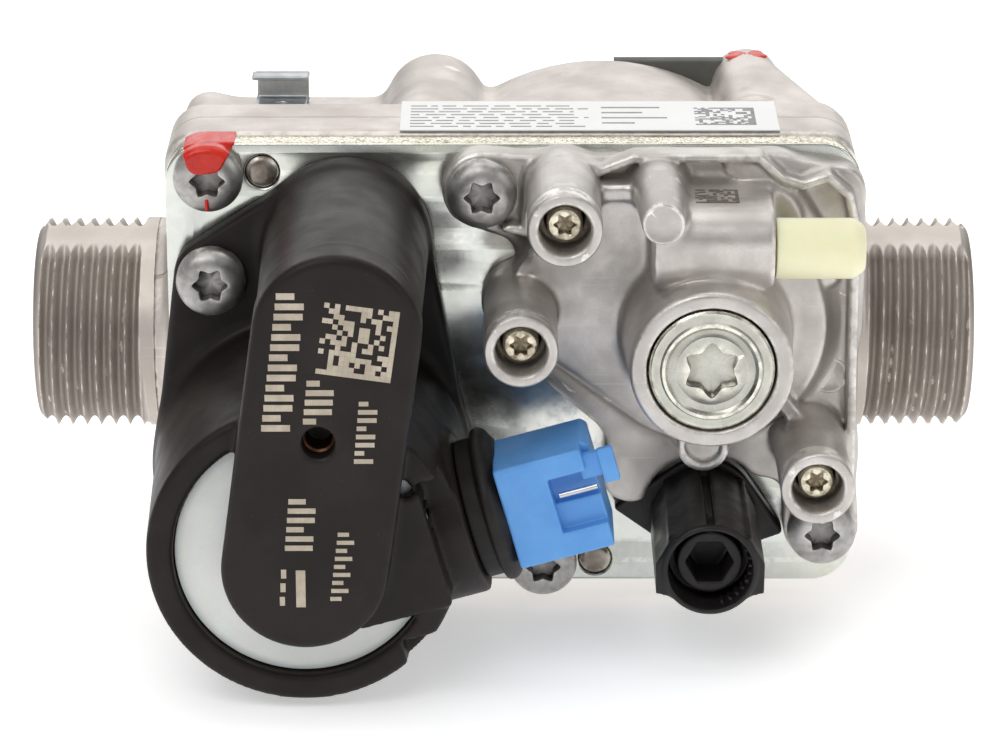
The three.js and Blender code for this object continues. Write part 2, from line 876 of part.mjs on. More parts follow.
function servoHousing() {
  const [x, z] = servoCentre;
  const lobeTop = flangeTop - 5;
  const flange = union(
    belt(
      [
        [5, lobeTop - 0.6, 4.6],
        [32, lobeTop, 4.3],
        [38.6, 19, 4.5],
        [38.6, -9, 4.5],
        [18, -3, 6],
        [10, 4, 6],
      ],
      servoFlangeFront,
      plateFront,
    ),
    belt([grown(servoScrews.servo_screw_left, 4.8), [7, lobeTop - 2, 6]], servoFlangeFront, plateFront),
    belt([grown(blankEar, 2.8), [35.4, 18.6, 5]], servoFlangeFront, plateFront),
    belt([grown(servoScrews.servo_screw_bottom, 4.6), [38.4, -8, 4.6]], servoFlangeFront, plateFront),
    belt([grown(nipples.inlet_tap_screw, nippleRadius + 0.2), [10, 8, 7]], servoFlangeFront, plateFront),
    belt([[15.6, -11.8, 3.6], [20, -1, 7]], servoFlangeFront, plateFront),
  );
  const cover = belt(
    [
      [15, lobeTop - 3.2, 5.4],
      [31, lobeTop - 2.8, 5.4],
      [x, z, 15],
      [x - 0.4, z - 15.8, 2.4],
      [37.2, 10, 3.4],
    ],
    servoCoverFront,
    servoFlangeFront,
  );
  const barrel = taper(servoCentre, barrelRadius, barrelRadius + 0.8, servoFront, servoFlangeFront, fine);
  const arm = box([armLeft, armFront, armBottom], [armRight, servoFlangeFront, armTop]);
  const column = taper([18.6, lobeTop + 1.4], 2.4, 2.9, servoFront, servoFlangeFront, coarse);
  const past = 1;
  return cut(
    union(flange, cover, barrel, arm, column, Object.values(nipples).map(nippleBoss)),
    rod(throttleCentre, 7.5, servoFlangeFront - past, plateFront + past),
    Object.values(nipples).map(nippleBore),
    rod(servoCentre, servoDiaphragmRadius, servoCoverFront + 2.4, plateFront + past),
    rod(servoCentre, barrelBoreRadius, servoFront - past, servoCoverFront + 4),
    rod(servoCentre, capRadius + runGap, servoFront - past, servoFront + 3, medium),
    rod(pilotPort, 1.2, servoFlangeFront + 1, plateFront + past, coarse),
    frontHoles(servoFlangeFront - past, plateFront + past),
    Object.values(servoScrews).map(screwHeadRoom),
    breatherBore(),
  );
}

// Room above a screw head for the head itself and its driver.
const screwHeadRoom = (place) =>
  rod(place, screwHeadRadius + 0.4, nippleFront, servoFlangeFront, coarse);

// The breather is pressed into the arm's right end, and opens into the spring chamber.
function breatherBore() {
  return union(
    atArmEnd(rodAlongX(breatherRadius - 1 + fitGap, -4, 1, coarse)),
    atArmEnd(rodAlongX(1, -8, 1, 8)),
    box([armRight - 8.6, breatherY - 1, servoCentre[1]], [armRight - 6.6, breatherY + 1, breatherZ + 1]),
  );
}

const atArmEnd = (shape) => shifted(shape, armRight, breatherY, breatherZ);

function breather() {
  const stubRadius = breatherRadius - 1;
  return atArmEnd(
    turnedAlongX(
      [
        [1.2, -3.5],
        [stubRadius, -3.5],
        [stubRadius, fitGap],
        [breatherRadius, fitGap],
        [breatherRadius, breatherLength - 0.8],
        [breatherRadius - 0.8, breatherLength],
        [1.2, breatherLength],
        [1.2, -3.5],
      ],
      coarse,
    ),
  );
}

const servoDiaphragmBack = plateFront - 0.5;
const servoDiaphragmFront = servoDiaphragmBack - 0.8;
const servoDiscFront = servoDiaphragmFront - 1.5;
const adjusterBack = servoFront + 9;
const adjusterThickness = 3;
const capBack = servoFront + 3 - runGap;
const ringThickness = 1.4;

const servoDiaphragm = () =>
  rod(servoCentre, servoDiaphragmRadius - fitGap, servoDiaphragmFront, servoDiaphragmBack);

function servoDisc() {
  return turned(
    [
      [0, servoDiscFront - 2],
      [2.5, servoDiscFront - 2],
      [2.5, servoDiscFront],
      [5.6, servoDiscFront],
      [5.6, servoDiaphragmFront - 0.1],
      [0, servoDiaphragmFront - 0.1],
    ],
    servoCentre,
    20,
  );
}

function servoAdjuster() {
  const [x, z] = servoCentre;
  const front = adjusterBack - adjusterThickness;
  const slotHalfLength = 5;
  const slotHalfWidth = 0.7;
  return cut(
    rod(servoCentre, barrelBoreRadius - runGap, front, adjusterBack, medium),
    box(
      [x - slotHalfLength, front - 1, z - slotHalfWidth],
      [x + slotHalfLength, front + 1.4, z + slotHalfWidth],
    ),
  );
}

function servoCap() {
  const head = servoFront - 0.3;
  return cut(
    turned(
      [
        [0, head],
        [capRadius - 1.1, head],
        [capRadius - 1, head + 0.6],
        [capRadius - 1, capBack],
        [0, capBack],
      ],
      servoCentre,
      fine,
    ),
    star(servoCentre, capStarRadius, head - 1, head + 1.9),
  );
}

const capRing = () => ring(servoCentre, capRadius - 0.8, capRadius, capBack - ringThickness, capBack, medium);

function tapScrew(place) {
  const head = nippleFront + 2.4;
  return cut(
    rod(place, tapScrewRadius, head, nippleFront + 11, 14),
    star(place, tapScrewRadius * 0.6, head - 1, head + 1),
  );
}

// ---------------------------------------------------------------- throttle
const throttleBaseFront = plateFront - 3;

function throttleBase() {
  const [x, z] = throttleCentre;
  const wingRadius = 2;
  const base = belt(
    [[x - 6.8, z - 2.6, wingRadius], [x + 6.8, z - 2.6, wingRadius], [x, z, 6.6]],
    throttleBaseFront,
    plateFront,
  );
  const spigot = rod(throttleCentre, spindleRadius + 2.7, plateFront, plateBack);
  const spindleHole = rod(
    throttleCentre,
    spindleRadius + runGap,
    throttleBaseFront - 1,
    plateBack + 1,
    coarse,
  );
  return cut(union(base, spigot), spindleHole);
}

function throttleKnob() {
  const [x, z] = throttleCentre;
  const back = throttleBaseFront - fitGap;
  const hubRadius = 4.1;
  const recess = 3;
  const hex = Array.from({ length: 6 }, (_, i) => {
    const angle = (Math.PI * i) / 3;
    const reach = hexAcrossFlats / Math.sqrt(3);
    return [x + reach * Math.cos(angle), z + reach * Math.sin(angle)];
  });
  const barrel = turned(
    [
      [0, throttleFront],
      [hubRadius, throttleFront],
      [hubRadius, throttleFront + recess],
      [throttleRadius - 0.4, throttleFront + recess],
      [throttleRadius - 0.4, throttleFront],
      [throttleRadius, throttleFront],
      [throttleRadius, back],
      [0, back],
    ],
    throttleCentre,
  );
  const wings = [-1, 1].map((side) =>
    box([x + side * 5.1 - 1.5, throttleFront, z - 5.3], [x + side * 5.1 + 1.5, throttleFront + 6, z - 2.4]),
  );
  return cut(
    union(barrel, wings),
    prism(hex, throttleFront - 1, throttleFront + 7),
    rod(throttleCentre, spindleRadius + runGap, throttleFront + 9, back + 1, coarse),
    box([x - 0.6, throttleFront + 4, z + throttleRadius - 1.4], [x + 0.6, back - 3, z + throttleRadius + 1]),
  );
}

function throttleSpindle() {
  const front = throttleFront + 9 + 1;
  const coneStart = castingFront + 1;
  return turned(
    [
      [0, front],
      [spindleRadius, front],
      [spindleRadius, coneStart],
      [spindleRadius + 2, coneStart + 0.5],
      [spindleRadius + 2, coneStart + 1.5],
      [1, coneStart + coneLength],
      [0, coneStart + coneLength],
    ],
    throttleCentre,
    coarse,
  );
}

// ---------------------------------------------------------------- small pieces
function earthTab() {
  const [left, right] = [flangeLeft + 9.3, flangeLeft + 16.3];
  const sheet = 0.8;
  const seat = flangeTop - 5.3;
  const top = seat + 2.6;
  const front = castingBack - 9;
  const riser = castingBack - 3;
  return union(
    box([left, front, seat], [right, riser, seat + sheet]),
    box([left, riser - sheet, seat], [right, riser, top]),
    box([left, riser - sheet, top - sheet], [right, castingBack - 0.4, top]),
  );
}

function typeLabel() {
  const thickness = 0.2;
  const margin = 0.3;
  return box(
    [-12.6, castingFront + margin, flangeTop],
    [33.5, flangeBack - margin, flangeTop + thickness],
  );
}

function inletStrainer() {
  const front = -portEnd + 9;
  const radius = portBoreRadius - fitGap;
  const places = Array.from({ length: 6 }, (_, i) => {
    const angle = (2 * Math.PI * i) / 6;
    return [5.4 * Math.cos(angle), 5.4 * Math.sin(angle)];
  });
  const disc = turnedAlongX([[0, front], [radius, front], [radius, front + 4], [radius - 1, front + 4],
    [radius - 1, front + 1], [0, front + 1]], medium);
  const holes = [[0, 0], ...places].map(([y, z]) => shifted(rodAlongX(2, front - 1, front + 2, 8), 0, y, z));
  return cut(disc, holes);
}

// ---------------------------------------------------------------- assembly
const springGap = 0.3;
const valve = new THREE.Group();
valve.name = "gas_valve";

const body = new THREE.Group();
body.add(
  part("valve_body", valveBody(), castAluminium),
  part("body_gasket", bodyGasket(), rubber),
  part("yoke_plate", yokePlate(), zincPlate),
  part("rear_cover", rearCover(), zincPlate),
  part("inlet_strainer", inletStrainer(), steel),
  part("earth_tab", earthTab(), zincPlate),
  part("type_label", typeLabel(), paper),
);
const addScrews = (places, seat) =>
  Object.entries(places).forEach(([name, place]) => body.add(part(name, screw(place, seat), steel)));
addScrews(plateScrews, plateFront);
addScrews(servoScrews, servoFlangeFront);
Object.entries(pins).forEach(([name, place]) => body.add(part(name, dowelPin(place), steel)));
body.add(part("coil_screw", screw(coilScrewPlace, coilFlangeFront), steel));
coverScrewPlaces.forEach((place, i) => body.add(part(`cover_screw_${i + 1}`, coverScrew(place), steel)));

const coil = new THREE.Group();
coil.add(
  part("coil_housing", coilHousing(), blackPlastic),
  part("main_bobbin", bobbin(...mainSpool), whitePlastic),
  part("main_winding", winding(...mainSpool), copper),
  part("pilot_bobbin", bobbin(...pilotSpool), whitePlastic),
  part("pilot_winding", winding(...pilotSpool), copper),
);
connectorGroup.add(
  part("connector_seal", sealCollar(), rubber),
  part("connector_plug", connectorPlug(), bluePlastic),
);
pinHeights.forEach((height, i) =>
  connectorGroup.add(part(`contact_blade_${i + 1}`, contactBlade(height), steel)),
);
coil.add(connectorGroup);

const solenoids = new THREE.Group();
solenoids.add(
  part("main_core_tube", coreTube(mainCentre, mainTubeRadius, mainTubeFront, mainTubeRadius), steel),
  part("main_core_stop", coreStop(mainCentre, mainBoreRadius, mainTubeFront, mainStopBack), steel),
  part(
    "main_plunger",
    plunger(mainCentre, mainBoreRadius, mainPlungerFront, mainSealFront, mainSealRadius),
    steel,
  ),
  part("main_valve_seal", seal(mainCentre, mainSealRadius, mainSealFront), rubber),
  part(
    "main_spring",
    spring(mainCentre, mainBoreRadius + 2.2, 0.5, 4, plateBack + 1, mainSealFront - 1.2 - springGap),
    steel,
  ),
  part("pilot_core_tube", coreTube(pilotCentre, pilotTubeRadius, pilotTubeFront, pilotTubeRadius), steel),
  part("pilot_core_stop", coreStop(pilotCentre, pilotBoreRadius, pilotTubeFront, pilotStopBack), steel),
  part(
    "pilot_plunger",
    plunger(pilotCentre, pilotBoreRadius, pilotPlungerFront, pilotSealFront, pilotSealRadius),
    steel,
  ),
  part("pilot_valve_seal", seal(pilotCentre, pilotSealRadius, pilotSealFront), rubber),
  part(
    "pilot_spring",
    spring(pilotCentre, pilotBoreRadius + 1.3, 0.35, 3, plateBack + 0.8, pilotSealFront - 1.2 - springGap),
    steel,
  ),
);

const outlet = new THREE.Group();
outlet.add(
  part("outlet_valve_disc", outletDisc(), rubber),
  part("outlet_valve_stem", outletStem(), brass),
  part("diaphragm_plate", clampPlate(), steel),
  part("main_diaphragm", mainDiaphragm(), rubber),
  part(
    "outlet_spring",
    spring(outletCentre, 5, 0.6, 4, plateBack + springGap, outletDiscFront - springGap),
    steel,
  ),
);

const servo = new THREE.Group();
servo.add(
  part("servo_housing", servoHousing(), castAluminium),
  part("servo_diaphragm", servoDiaphragm(), rubber),
  part("servo_disc", servoDisc(), steel),
  part(
    "servo_spring",
    spring(servoCentre, 4, 0.45, 4.5, adjusterBack + springGap, servoDiscFront - springGap),
    steel,
  ),
  part("servo_adjuster", servoAdjuster(), whitePlastic),
  part("servo_cap", servoCap(), zincPlate),
  part("cap_ring", capRing(), rubber),
  part("breather", breather(), creamPlastic),
);
Object.entries(nipples).forEach(([name, place]) => servo.add(part(name, tapScrew(place), brass)));

const throttle = new THREE.Group();
throttle.add(
  part("throttle_base", throttleBase(), blackPlastic),
  part("throttle_knob", throttleKnob(), blackPlastic),
  part("throttle_spindle", throttleSpindle(), brass),
);

valve.add(body, coil, solenoids, outlet, servo, throttle);
export default valve;
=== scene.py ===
"""Looks of a twin-solenoid gas control valve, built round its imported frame.

Shapes are worked out in millimetres, X along the pipe, Y to the back, Z up, and scaled to metres when a
mesh is made. Turned, threaded and lobed pieces are surfaces of two parameters. The two castings and the
coil moulding blend too many forms for one such surface, so they are distance fields sampled on a lattice
and skinned. Every field is negative inside the material.
"""

import json
import logging
import math
from collections.abc import Sequence
from dataclasses import dataclass, field
from enum import Enum

import bmesh
import bpy
import numpy as np
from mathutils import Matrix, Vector

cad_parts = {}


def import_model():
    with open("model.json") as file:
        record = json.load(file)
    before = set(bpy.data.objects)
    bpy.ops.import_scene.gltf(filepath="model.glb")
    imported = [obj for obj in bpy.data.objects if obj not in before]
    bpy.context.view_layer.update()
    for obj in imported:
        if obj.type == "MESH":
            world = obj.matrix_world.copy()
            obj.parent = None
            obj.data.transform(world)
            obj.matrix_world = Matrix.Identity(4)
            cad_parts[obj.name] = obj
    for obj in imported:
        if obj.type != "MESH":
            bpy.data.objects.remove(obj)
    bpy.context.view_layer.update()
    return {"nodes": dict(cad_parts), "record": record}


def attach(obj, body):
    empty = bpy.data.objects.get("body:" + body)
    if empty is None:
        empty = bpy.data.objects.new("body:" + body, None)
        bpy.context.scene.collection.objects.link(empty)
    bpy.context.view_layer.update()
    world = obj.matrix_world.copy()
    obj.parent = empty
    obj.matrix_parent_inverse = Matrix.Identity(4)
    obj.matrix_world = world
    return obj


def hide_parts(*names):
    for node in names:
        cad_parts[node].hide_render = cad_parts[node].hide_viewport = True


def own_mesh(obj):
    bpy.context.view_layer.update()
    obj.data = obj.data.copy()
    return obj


MM = 0.001
TAU = 2.0 * math.pi
LOG = logging.getLogger("gas_valve")
Array = np.ndarray
Point2 = tuple[float, float]
Point3 = tuple[float, float, float]
Colour = tuple[float, float, float]


# ------------------------------------------------------------------ placing
class Axis(Enum):
    """The way that a turned piece points."""

    Y = "y"
    X = "x"
    CONNECTOR = "connector"


CONNECTOR_CENTRE: Point3 = (-3.6, -39.0, -10.1)
CONNECTOR_TILT = math.radians(15.7)


def connector_to_world(points: Array) -> Array:
    """Turns points (u, w, v) on the connector's own axes into the object's frame.

    Args:
        points: One row per point: along the connector, to the back, and up across it.

    Returns:
        The same points as (x, y, z) in millimetres.
    """
    cos, sin = math.cos(CONNECTOR_TILT), math.sin(CONNECTOR_TILT)
    u, w, v = points[:, 0], points[:, 1], points[:, 2]
    moved = np.stack([u * cos - v * sin, w, u * sin + v * cos], axis=1)
    return moved + np.array(CONNECTOR_CENTRE)


def placed_round(radius: Array, angle: Array, along: Array, axis: Axis, centre: Point2) -> Array:
    """Places polar points round an axis: (r cos a, r sin a) across it and t along it.

    Args:
        radius: Distance of each point from the axis.
        angle: Angle of each point round the axis.
        along: Place of each point along the axis.
        axis: The way that the axis points.
        centre: Where the axis crosses the plane normal to it: (x, z), (y, z) or (w, v).

    Returns:
        The points, one row each.
    """
    across, up = radius * np.cos(angle), radius * np.sin(angle)
    if axis is Axis.Y:
        return np.stack([centre[0] + across, along, centre[1] + up], axis=1)
    points = np.stack([along, centre[0] - across, centre[1] + up], axis=1)
    return connector_to_world(points) if axis is Axis.CONNECTOR else points


# ------------------------------------------------------------------ meshes
@dataclass
class Shell:
    """A surface in millimetres: points, and faces of three or four corners."""

    points: Array
    faces: Array

    def joined(self, *others: "Shell") -> "Shell":
        """This shell and others as one, with triangles written as quads that repeat a corner.

        Args:
            others: The other shells.

        Returns:
            All of them as one.
        """
        shells = (self, *others)
        starts = np.cumsum([0] + [len(s.points) for s in shells[:-1]])
        quads = [_as_quads(s.faces) + start for s, start in zip(shells, starts)]
        return Shell(np.concatenate([s.points for s in shells]), np.concatenate(quads))


def _as_quads(faces: Array) -> Array:
    """Faces with four columns, a triangle repeating its last corner."""
    return faces if faces.shape[1] == 4 else np.concatenate([faces, faces[:, 2:3]], axis=1)


def grid_faces(rows: int, columns: int, closed_rows: bool = False) -> Array:
    """Quads of a grid that closes round its columns, and round its rows too if asked.

    Args:
        rows: Points along the profile.
        columns: Points round each row.
        closed_rows: Whether the last row joins the first.

    Returns:
        One row of four point numbers per quad.
    """
    row = np.arange(rows if closed_rows else rows - 1)[:, None]
    column = np.arange(columns)[None, :]
    below = (row + 1) % rows
    beside = (column + 1) % columns
    here, there = row * columns, below * columns
    corners = [here + column, here + beside, there + beside, there + column]
    return np.stack([c.ravel() for c in np.broadcast_arrays(*corners)], axis=1)


@dataclass(frozen=True)
class Dress:
    """What a piece rides on, its material slot's name, and what it stands for."""

    slot: str
    body: str = "root"
    replaces: tuple[str, ...] = ()
    crease: float = 38.0


def make_piece(name: str, shell: Shell, finish: "Finish", dress: Dress) -> bpy.types.Object:
    """Makes a Blender object of a shell, welds it, turns its faces out and attaches it to the frame.

    Args:
        name: Name of the piece.
        shell: Its surface in millimetres.
        finish: Its finish.
        dress: Its body, slot, replaced nodes and crease angle in degrees.

    Returns:
        The object.
    """
    mesh = bpy.data.meshes.new(name)
    faces = _as_quads(shell.faces)
    single = faces[:, 3] == faces[:, 2]
    loops = np.concatenate([faces[~single].ravel(), faces[single][:, :3].ravel()])
    sizes = np.concatenate([np.full((~single).sum(), 4), np.full(single.sum(), 3)])
    mesh.vertices.add(len(shell.points))
    mesh.vertices.foreach_set("co", (shell.points * MM).astype(np.float32).ravel())
    mesh.loops.add(len(loops))
    mesh.loops.foreach_set("vertex_index", loops.astype(np.int32))
    mesh.polygons.add(len(sizes))
    mesh.polygons.foreach_set("loop_start", np.concatenate([[0], np.cumsum(sizes)[:-1]]).astype(np.int32))
    mesh.update(calc_edges=True)
    mesh.validate()
    weld(mesh)
    mesh.polygons.foreach_set("use_smooth", np.ones(len(mesh.polygons), dtype=bool))
    mesh.set_sharp_from_angle(angle=math.radians(dress.crease))
    made = bpy.data.objects.new(name, mesh)
    bpy.context.scene.collection.objects.link(made)
    mesh.materials.append(finish.material())
    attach(made, dress.body)
    if dress.replaces:
        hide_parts(*dress.replaces)
    LOG.info("%s: %d faces on %s", name, len(mesh.polygons), dress.body)
    return made


def weld(mesh: bpy.types.Mesh, distance: float = 2e-6) -> None:
    """Merges points closer than a distance in metres, drops collapsed faces and turns all faces out.

    Args:
        mesh: The mesh, changed in place.
        distance: How close two points are to be merged, in metres.
    """
    work = bmesh.new()
    work.from_mesh(mesh)
    bmesh.ops.remove_doubles(work, verts=work.verts, dist=distance)
    bmesh.ops.dissolve_degenerate(work, dist=1e-7, edges=work.edges)
    bmesh.ops.recalc_face_normals(work, faces=work.faces)
    work.to_mesh(mesh)
    work.free()


# ------------------------------------------------------------------ surfaces of two parameters
def rounded(profile: Sequence[Point2], radius: float, steps: int = 3) -> list[Point2]:
    """Rounds the inner corners of a profile with a quadratic curve from one side to the other.

    Args:
        profile: The corners as (radius, place along).
        radius: How far from a corner its rounding starts, at most 45% of either side.
        steps: Points per corner, less one.

    Returns:
        The rounded profile, with its two end points kept.
    """
    made = [profile[0]]
    for before, corner, after in zip(profile, profile[1:], profile[2:]):
        towards = []
        for other in (before, after):
            gap = np.subtract(other, corner)
            length = float(np.hypot(*gap)) or 1.0
            towards.append(np.array(corner) + gap / length * min(radius, 0.45 * length))
        for t in np.linspace(0.0, 1.0, steps + 1):
            point = (1 - t) ** 2 * towards[0] + 2 * t * (1 - t) * np.array(corner) + t**2 * towards[1]
            made.append((float(point[0]), float(point[1])))
    return [*made, profile[-1]]


@dataclass(frozen=True)
class Lobes:
    """A six-lobed (or otherwise lobed) modulation of a turned radius."""

    count: int = 6
    depth: float = 0.26
    lean: float = 0.0

    def share(self, angle: Array, amount: Array) -> Array:
        """Radius times 1 less depth, in the valleys between lobes, where amount is 1."""
        wave = (0.5 - 0.5 * np.cos(self.count * (angle - math.radians(self.lean)))) ** 0.7
        return 1.0 - self.depth * amount * wave


def turned(
    profile: Sequence[Point2],
    centre: Point2,
    axis: Axis = Axis.Y,
    segments: int = 64,
    closed: bool = False,
    lobed_from: int | None = None,
    lobes: Lobes = Lobes(),
) -> Shell:
    """A profile of (radius, place along) carried round an axis: the point at (s, a) is r(s) at angle a.

    Args:
        profile: The section, from one end to the other.
        centre: Where the axis is.
        axis: The way that it points.
        segments: Points round a full turn.
        closed: Whether the section's end joins its start.
        lobed_from: Number of the profile point from which the radius follows the lobes.
        lobes: The lobes.

    Returns:
        The surface.
    """
    section = np.array(profile, dtype=float)
    angle = np.linspace(0.0, TAU, segments, endpoint=False)[None, :]
    radius = section[:, :1] * np.ones_like(angle)
    if lobed_from is not None:
        amount = (np.arange(len(section)) >= lobed_from).astype(float)[:, None]
        radius = radius * lobes.share(angle, amount)
    along = section[:, 1:] * np.ones_like(angle)
    around = angle * np.ones_like(radius)
    points = placed_round(radius.ravel(), around.ravel(), along.ravel(), axis, centre)
    return Shell(points, grid_faces(len(section), segments, closed))


def slabs(low: Array, high: Array) -> Shell:
    """Many upright boxes at once: each corner takes low or high on each axis.

    Args:
        low: Lowest corner of each box, one row per box.
        high: Highest corner of each box.

    Returns:
        All the boxes as one surface.
    """
    pick = np.array([[(i >> a) & 1 for a in range(3)] for i in range(8)])
    points = np.where(pick[None], high[:, None, :], low[:, None, :]).reshape(-1, 3)
    quads = np.array([[0, 2, 3, 1], [4, 5, 7, 6], [0, 1, 5, 4], [2, 6, 7, 3], [0, 4, 6, 2], [1, 3, 7, 5]])
    faces = (quads[None] + 8 * np.arange(len(low))[:, None, None]).reshape(-1, 4)
    return Shell(points, faces)


def belt(circles: Sequence[tuple[float, float, float]], facets: int = 72) -> Array:
    """The outline of a rope pulled tight round circles: the convex hull of points on all of them.

    Args:
        circles: Each as (x, z, radius).
        facets: Points per circle.

    Returns:
        The outline's corners in order, one row each.
    """
    angle = np.linspace(0.0, TAU, facets, endpoint=False)
    rings = [np.stack([x + r * np.cos(angle), z + r * np.sin(angle)], 1) for x, z, r in circles]
    points = np.concatenate(rings)
    points = np.unique(points.round(5), axis=0)

    def chain(row: Array) -> list[Array]:
        """One side of the hull: drops each point that would make a right turn.

        Args:
            row: The circles' points on one side, in order.

        Returns:
            The points that are kept.
        """
        hull: list[Array] = []
        for p in row:
            while len(hull) > 1:
                (ax, az), (bx, bz) = hull[-2], hull[-1]
                if (bx - ax) * (p[1] - az) - (bz - az) * (p[0] - ax) > 1e-9:
                    break
                hull.pop()
            hull.append(p)
        return hull[:-1]

    return np.array(chain(points) + chain(points[::-1]))


def rectangle(left: float, bottom: float, right: float, top: float, corner: float) -> Array:
    """The outline of a rectangle with round corners."""
    xs, zs = (left + corner, right - corner), (bottom + corner, top - corner)
    return belt([(x, z, corner) for x in xs for z in zs])


def sheet_piece(
    name: str,
    outline: Array,
    holes: Sequence[tuple[float, float, float]],
    front: float,
    back: float,
    edge: float,
    finish: "Finish",
    dress: Dress,
) -> bpy.types.Object:
    """A flat sheet with round holes: a filled flat curve, extruded, its rim rounded, made a mesh.

    Args:
        name: Name of the piece.
        outline: Corners of its outline in X and Z.
        holes: Each as (x, z, radius).
        front: Y of its front face.
        back: Y of its back face.
        edge: Radius of the rounding of its edges.
        finish: Its finish.
        dress: Its body, slot and replaced nodes.

    Returns:
        The object.
    """
    curve = bpy.data.curves.new(name, "CURVE")
    curve.dimensions, curve.fill_mode = "2D", "BOTH"
    curve.extrude, curve.bevel_depth, curve.bevel_resolution = (back - front) / 2 - edge, edge, 2
    curve.offset = -edge
    angle = np.linspace(0.0, TAU, 56, endpoint=False)
    rings = [outline] + [np.stack([x + r * np.cos(angle), z + r * np.sin(angle)], 1) for x, z, r in holes]
    for ring in rings:
        spline = curve.splines.new("POLY")
        spline.points.add(len(ring) - 1)
        flat = np.concatenate([ring, np.zeros((len(ring), 1)), np.ones((len(ring), 1))], axis=1)
        spline.points.foreach_set("co", flat.ravel())
        spline.use_cyclic_u = True
    holder = bpy.data.objects.new(name + "_curve", curve)
    bpy.context.scene.collection.objects.link(holder)
    bpy.context.view_layer.update()
    flat_mesh = holder.evaluated_get(bpy.context.evaluated_depsgraph_get()).to_mesh()
    points = np.empty(len(flat_mesh.vertices) * 3)
    flat_mesh.vertices.foreach_get("co", points)
    points = points.reshape(-1, 3)
    flat_mesh.calc_loop_triangles()
    triangles = np.empty(len(flat_mesh.loop_triangles) * 3, dtype=np.int32)
    flat_mesh.loop_triangles.foreach_get("vertices", triangles)
    bpy.data.objects.remove(holder)
    bpy.data.curves.remove(curve)
    placed = np.stack([points[:, 0], (front + back) / 2 - points[:, 2], points[:, 1]], axis=1)
    return make_piece(name, Shell(placed, triangles.reshape(-1, 3)), finish, dress)


# ------------------------------------------------------------------ distance fields
@dataclass
class Lattice:
    """A box of evenly spaced sample points, in millimetres."""

    low: Point3
    high: Point3
    step: float

    def axes(self) -> tuple[Array, Array, Array]:
        """The three coordinates, shaped so that they broadcast together."""
        spans = [np.arange(lo, hi + self.step, self.step) for lo, hi in zip(self.low, self.high)]
        return spans[0][:, None, None], spans[1][None, :, None], spans[2][None, None, :]

    def skin(self, values: Array) -> Shell:
        """The zero surface of a field: one point per mixed cell, moved down the slope on to the surface.

        Args:
            values: The field at each lattice point, negative inside.

        Returns:
            The surface, with a quad across each lattice edge that the field crosses.
        """
        inside = values < 0
        corners = np.array([[(i >> a) & 1 for a in range(3)] for i in range(8)])
        shape = np.array(values.shape) - 1
        count = sum(inside[tuple(slice(c, c + n) for c, n in zip(o, shape))].astype(np.int8) for o in corners)
        cells = np.argwhere((count > 0) & (count < 8))
        number = np.full(shape, -1, dtype=np.int64)
        number[tuple(cells.T)] = np.arange(len(cells))
        held = np.stack([values[tuple((cells + o).T)] for o in corners], axis=1)
        total, crossings = np.zeros((len(cells), 3)), np.zeros((len(cells), 1))
        for a in range(8):
            for b in (a | 1, a | 2, a | 4):
                if b == a:
                    continue
                fa, fb = held[:, a : a + 1], held[:, b : b + 1]
                crossed = (fa < 0) != (fb < 0)
                share = np.where(crossed, fa / np.where(crossed, fa - fb, 1.0), 0.0)
                total += crossed * (corners[a] + share * (corners[b] - corners[a]))
                crossings += crossed
        at = total / crossings
        for _ in range(3):
            columns = [at[:, a : a + 1] for a in range(3)]
            shares = [np.where(corners[None, :, a], c, 1.0 - c) for a, c in enumerate(columns)]
            value = (held * shares[0] * shares[1] * shares[2]).sum(axis=1, keepdims=True)
            signs = 2.0 * corners - 1.0
            rise = [held * signs[:, a] * shares[(a + 1) % 3] * shares[(a + 2) % 3] for a in range(3)]
            slope = np.stack([r.sum(axis=1) for r in rise], axis=1)
            steepness = np.maximum((slope**2).sum(axis=1, keepdims=True), 1e-6)
            at = np.clip(at - value * slope / steepness, 0.02, 0.98)
        points = np.array(self.low) + (cells + at) * self.step
        quads = []
        for axis in range(3):
            other, third = (axis + 1) % 3, (axis + 2) % 3
            ahead = np.roll(inside, -1, axis)
            crossed = inside != ahead
            where = np.argwhere(crossed)
            where = where[(where[:, axis] < shape[axis]) & (where[:, other] > 0) & (where[:, third] > 0)]
            where = where[(where[:, other] < shape[other]) & (where[:, third] < shape[third])]
            d_other, d_third = np.eye(3, dtype=int)[other], np.eye(3, dtype=int)[third]
            ring = [where, where - d_other, where - d_other - d_third, where - d_third]
            quad = np.stack([number[tuple(r.T)] for r in ring], axis=1)
            flip = ~inside[tuple(where.T)]
            quad[flip] = quad[flip][:, ::-1]
            quads.append(quad)
        faces = np.concatenate(quads)
        return Shell(points, faces[(faces >= 0).all(axis=1)])


def outline_field(x: Array, z: Array, outline: Array) -> Array:
    """Signed distance in the XZ plane to a closed outline: nearest edge, negative within.

    Args:
        x: X of the sample points.
        z: Z of the sample points.
        outline: The outline's corners.

    Returns:
        The distance, shaped as x and z together.
    """
    near = path_field(x, z, [*outline, outline[0]], 0.0)
    within = np.zeros(near.shape, dtype=bool)
    for (ax, az), (bx, bz) in zip(outline, np.roll(outline, -1, axis=0)):
        if bz != az:
            spans = (z >= min(az, bz)) & (z < max(az, bz))
            within ^= spans & (x < ax + (z - az) * (bx - ax) / (bz - az))
    return np.where(within, -near, near)


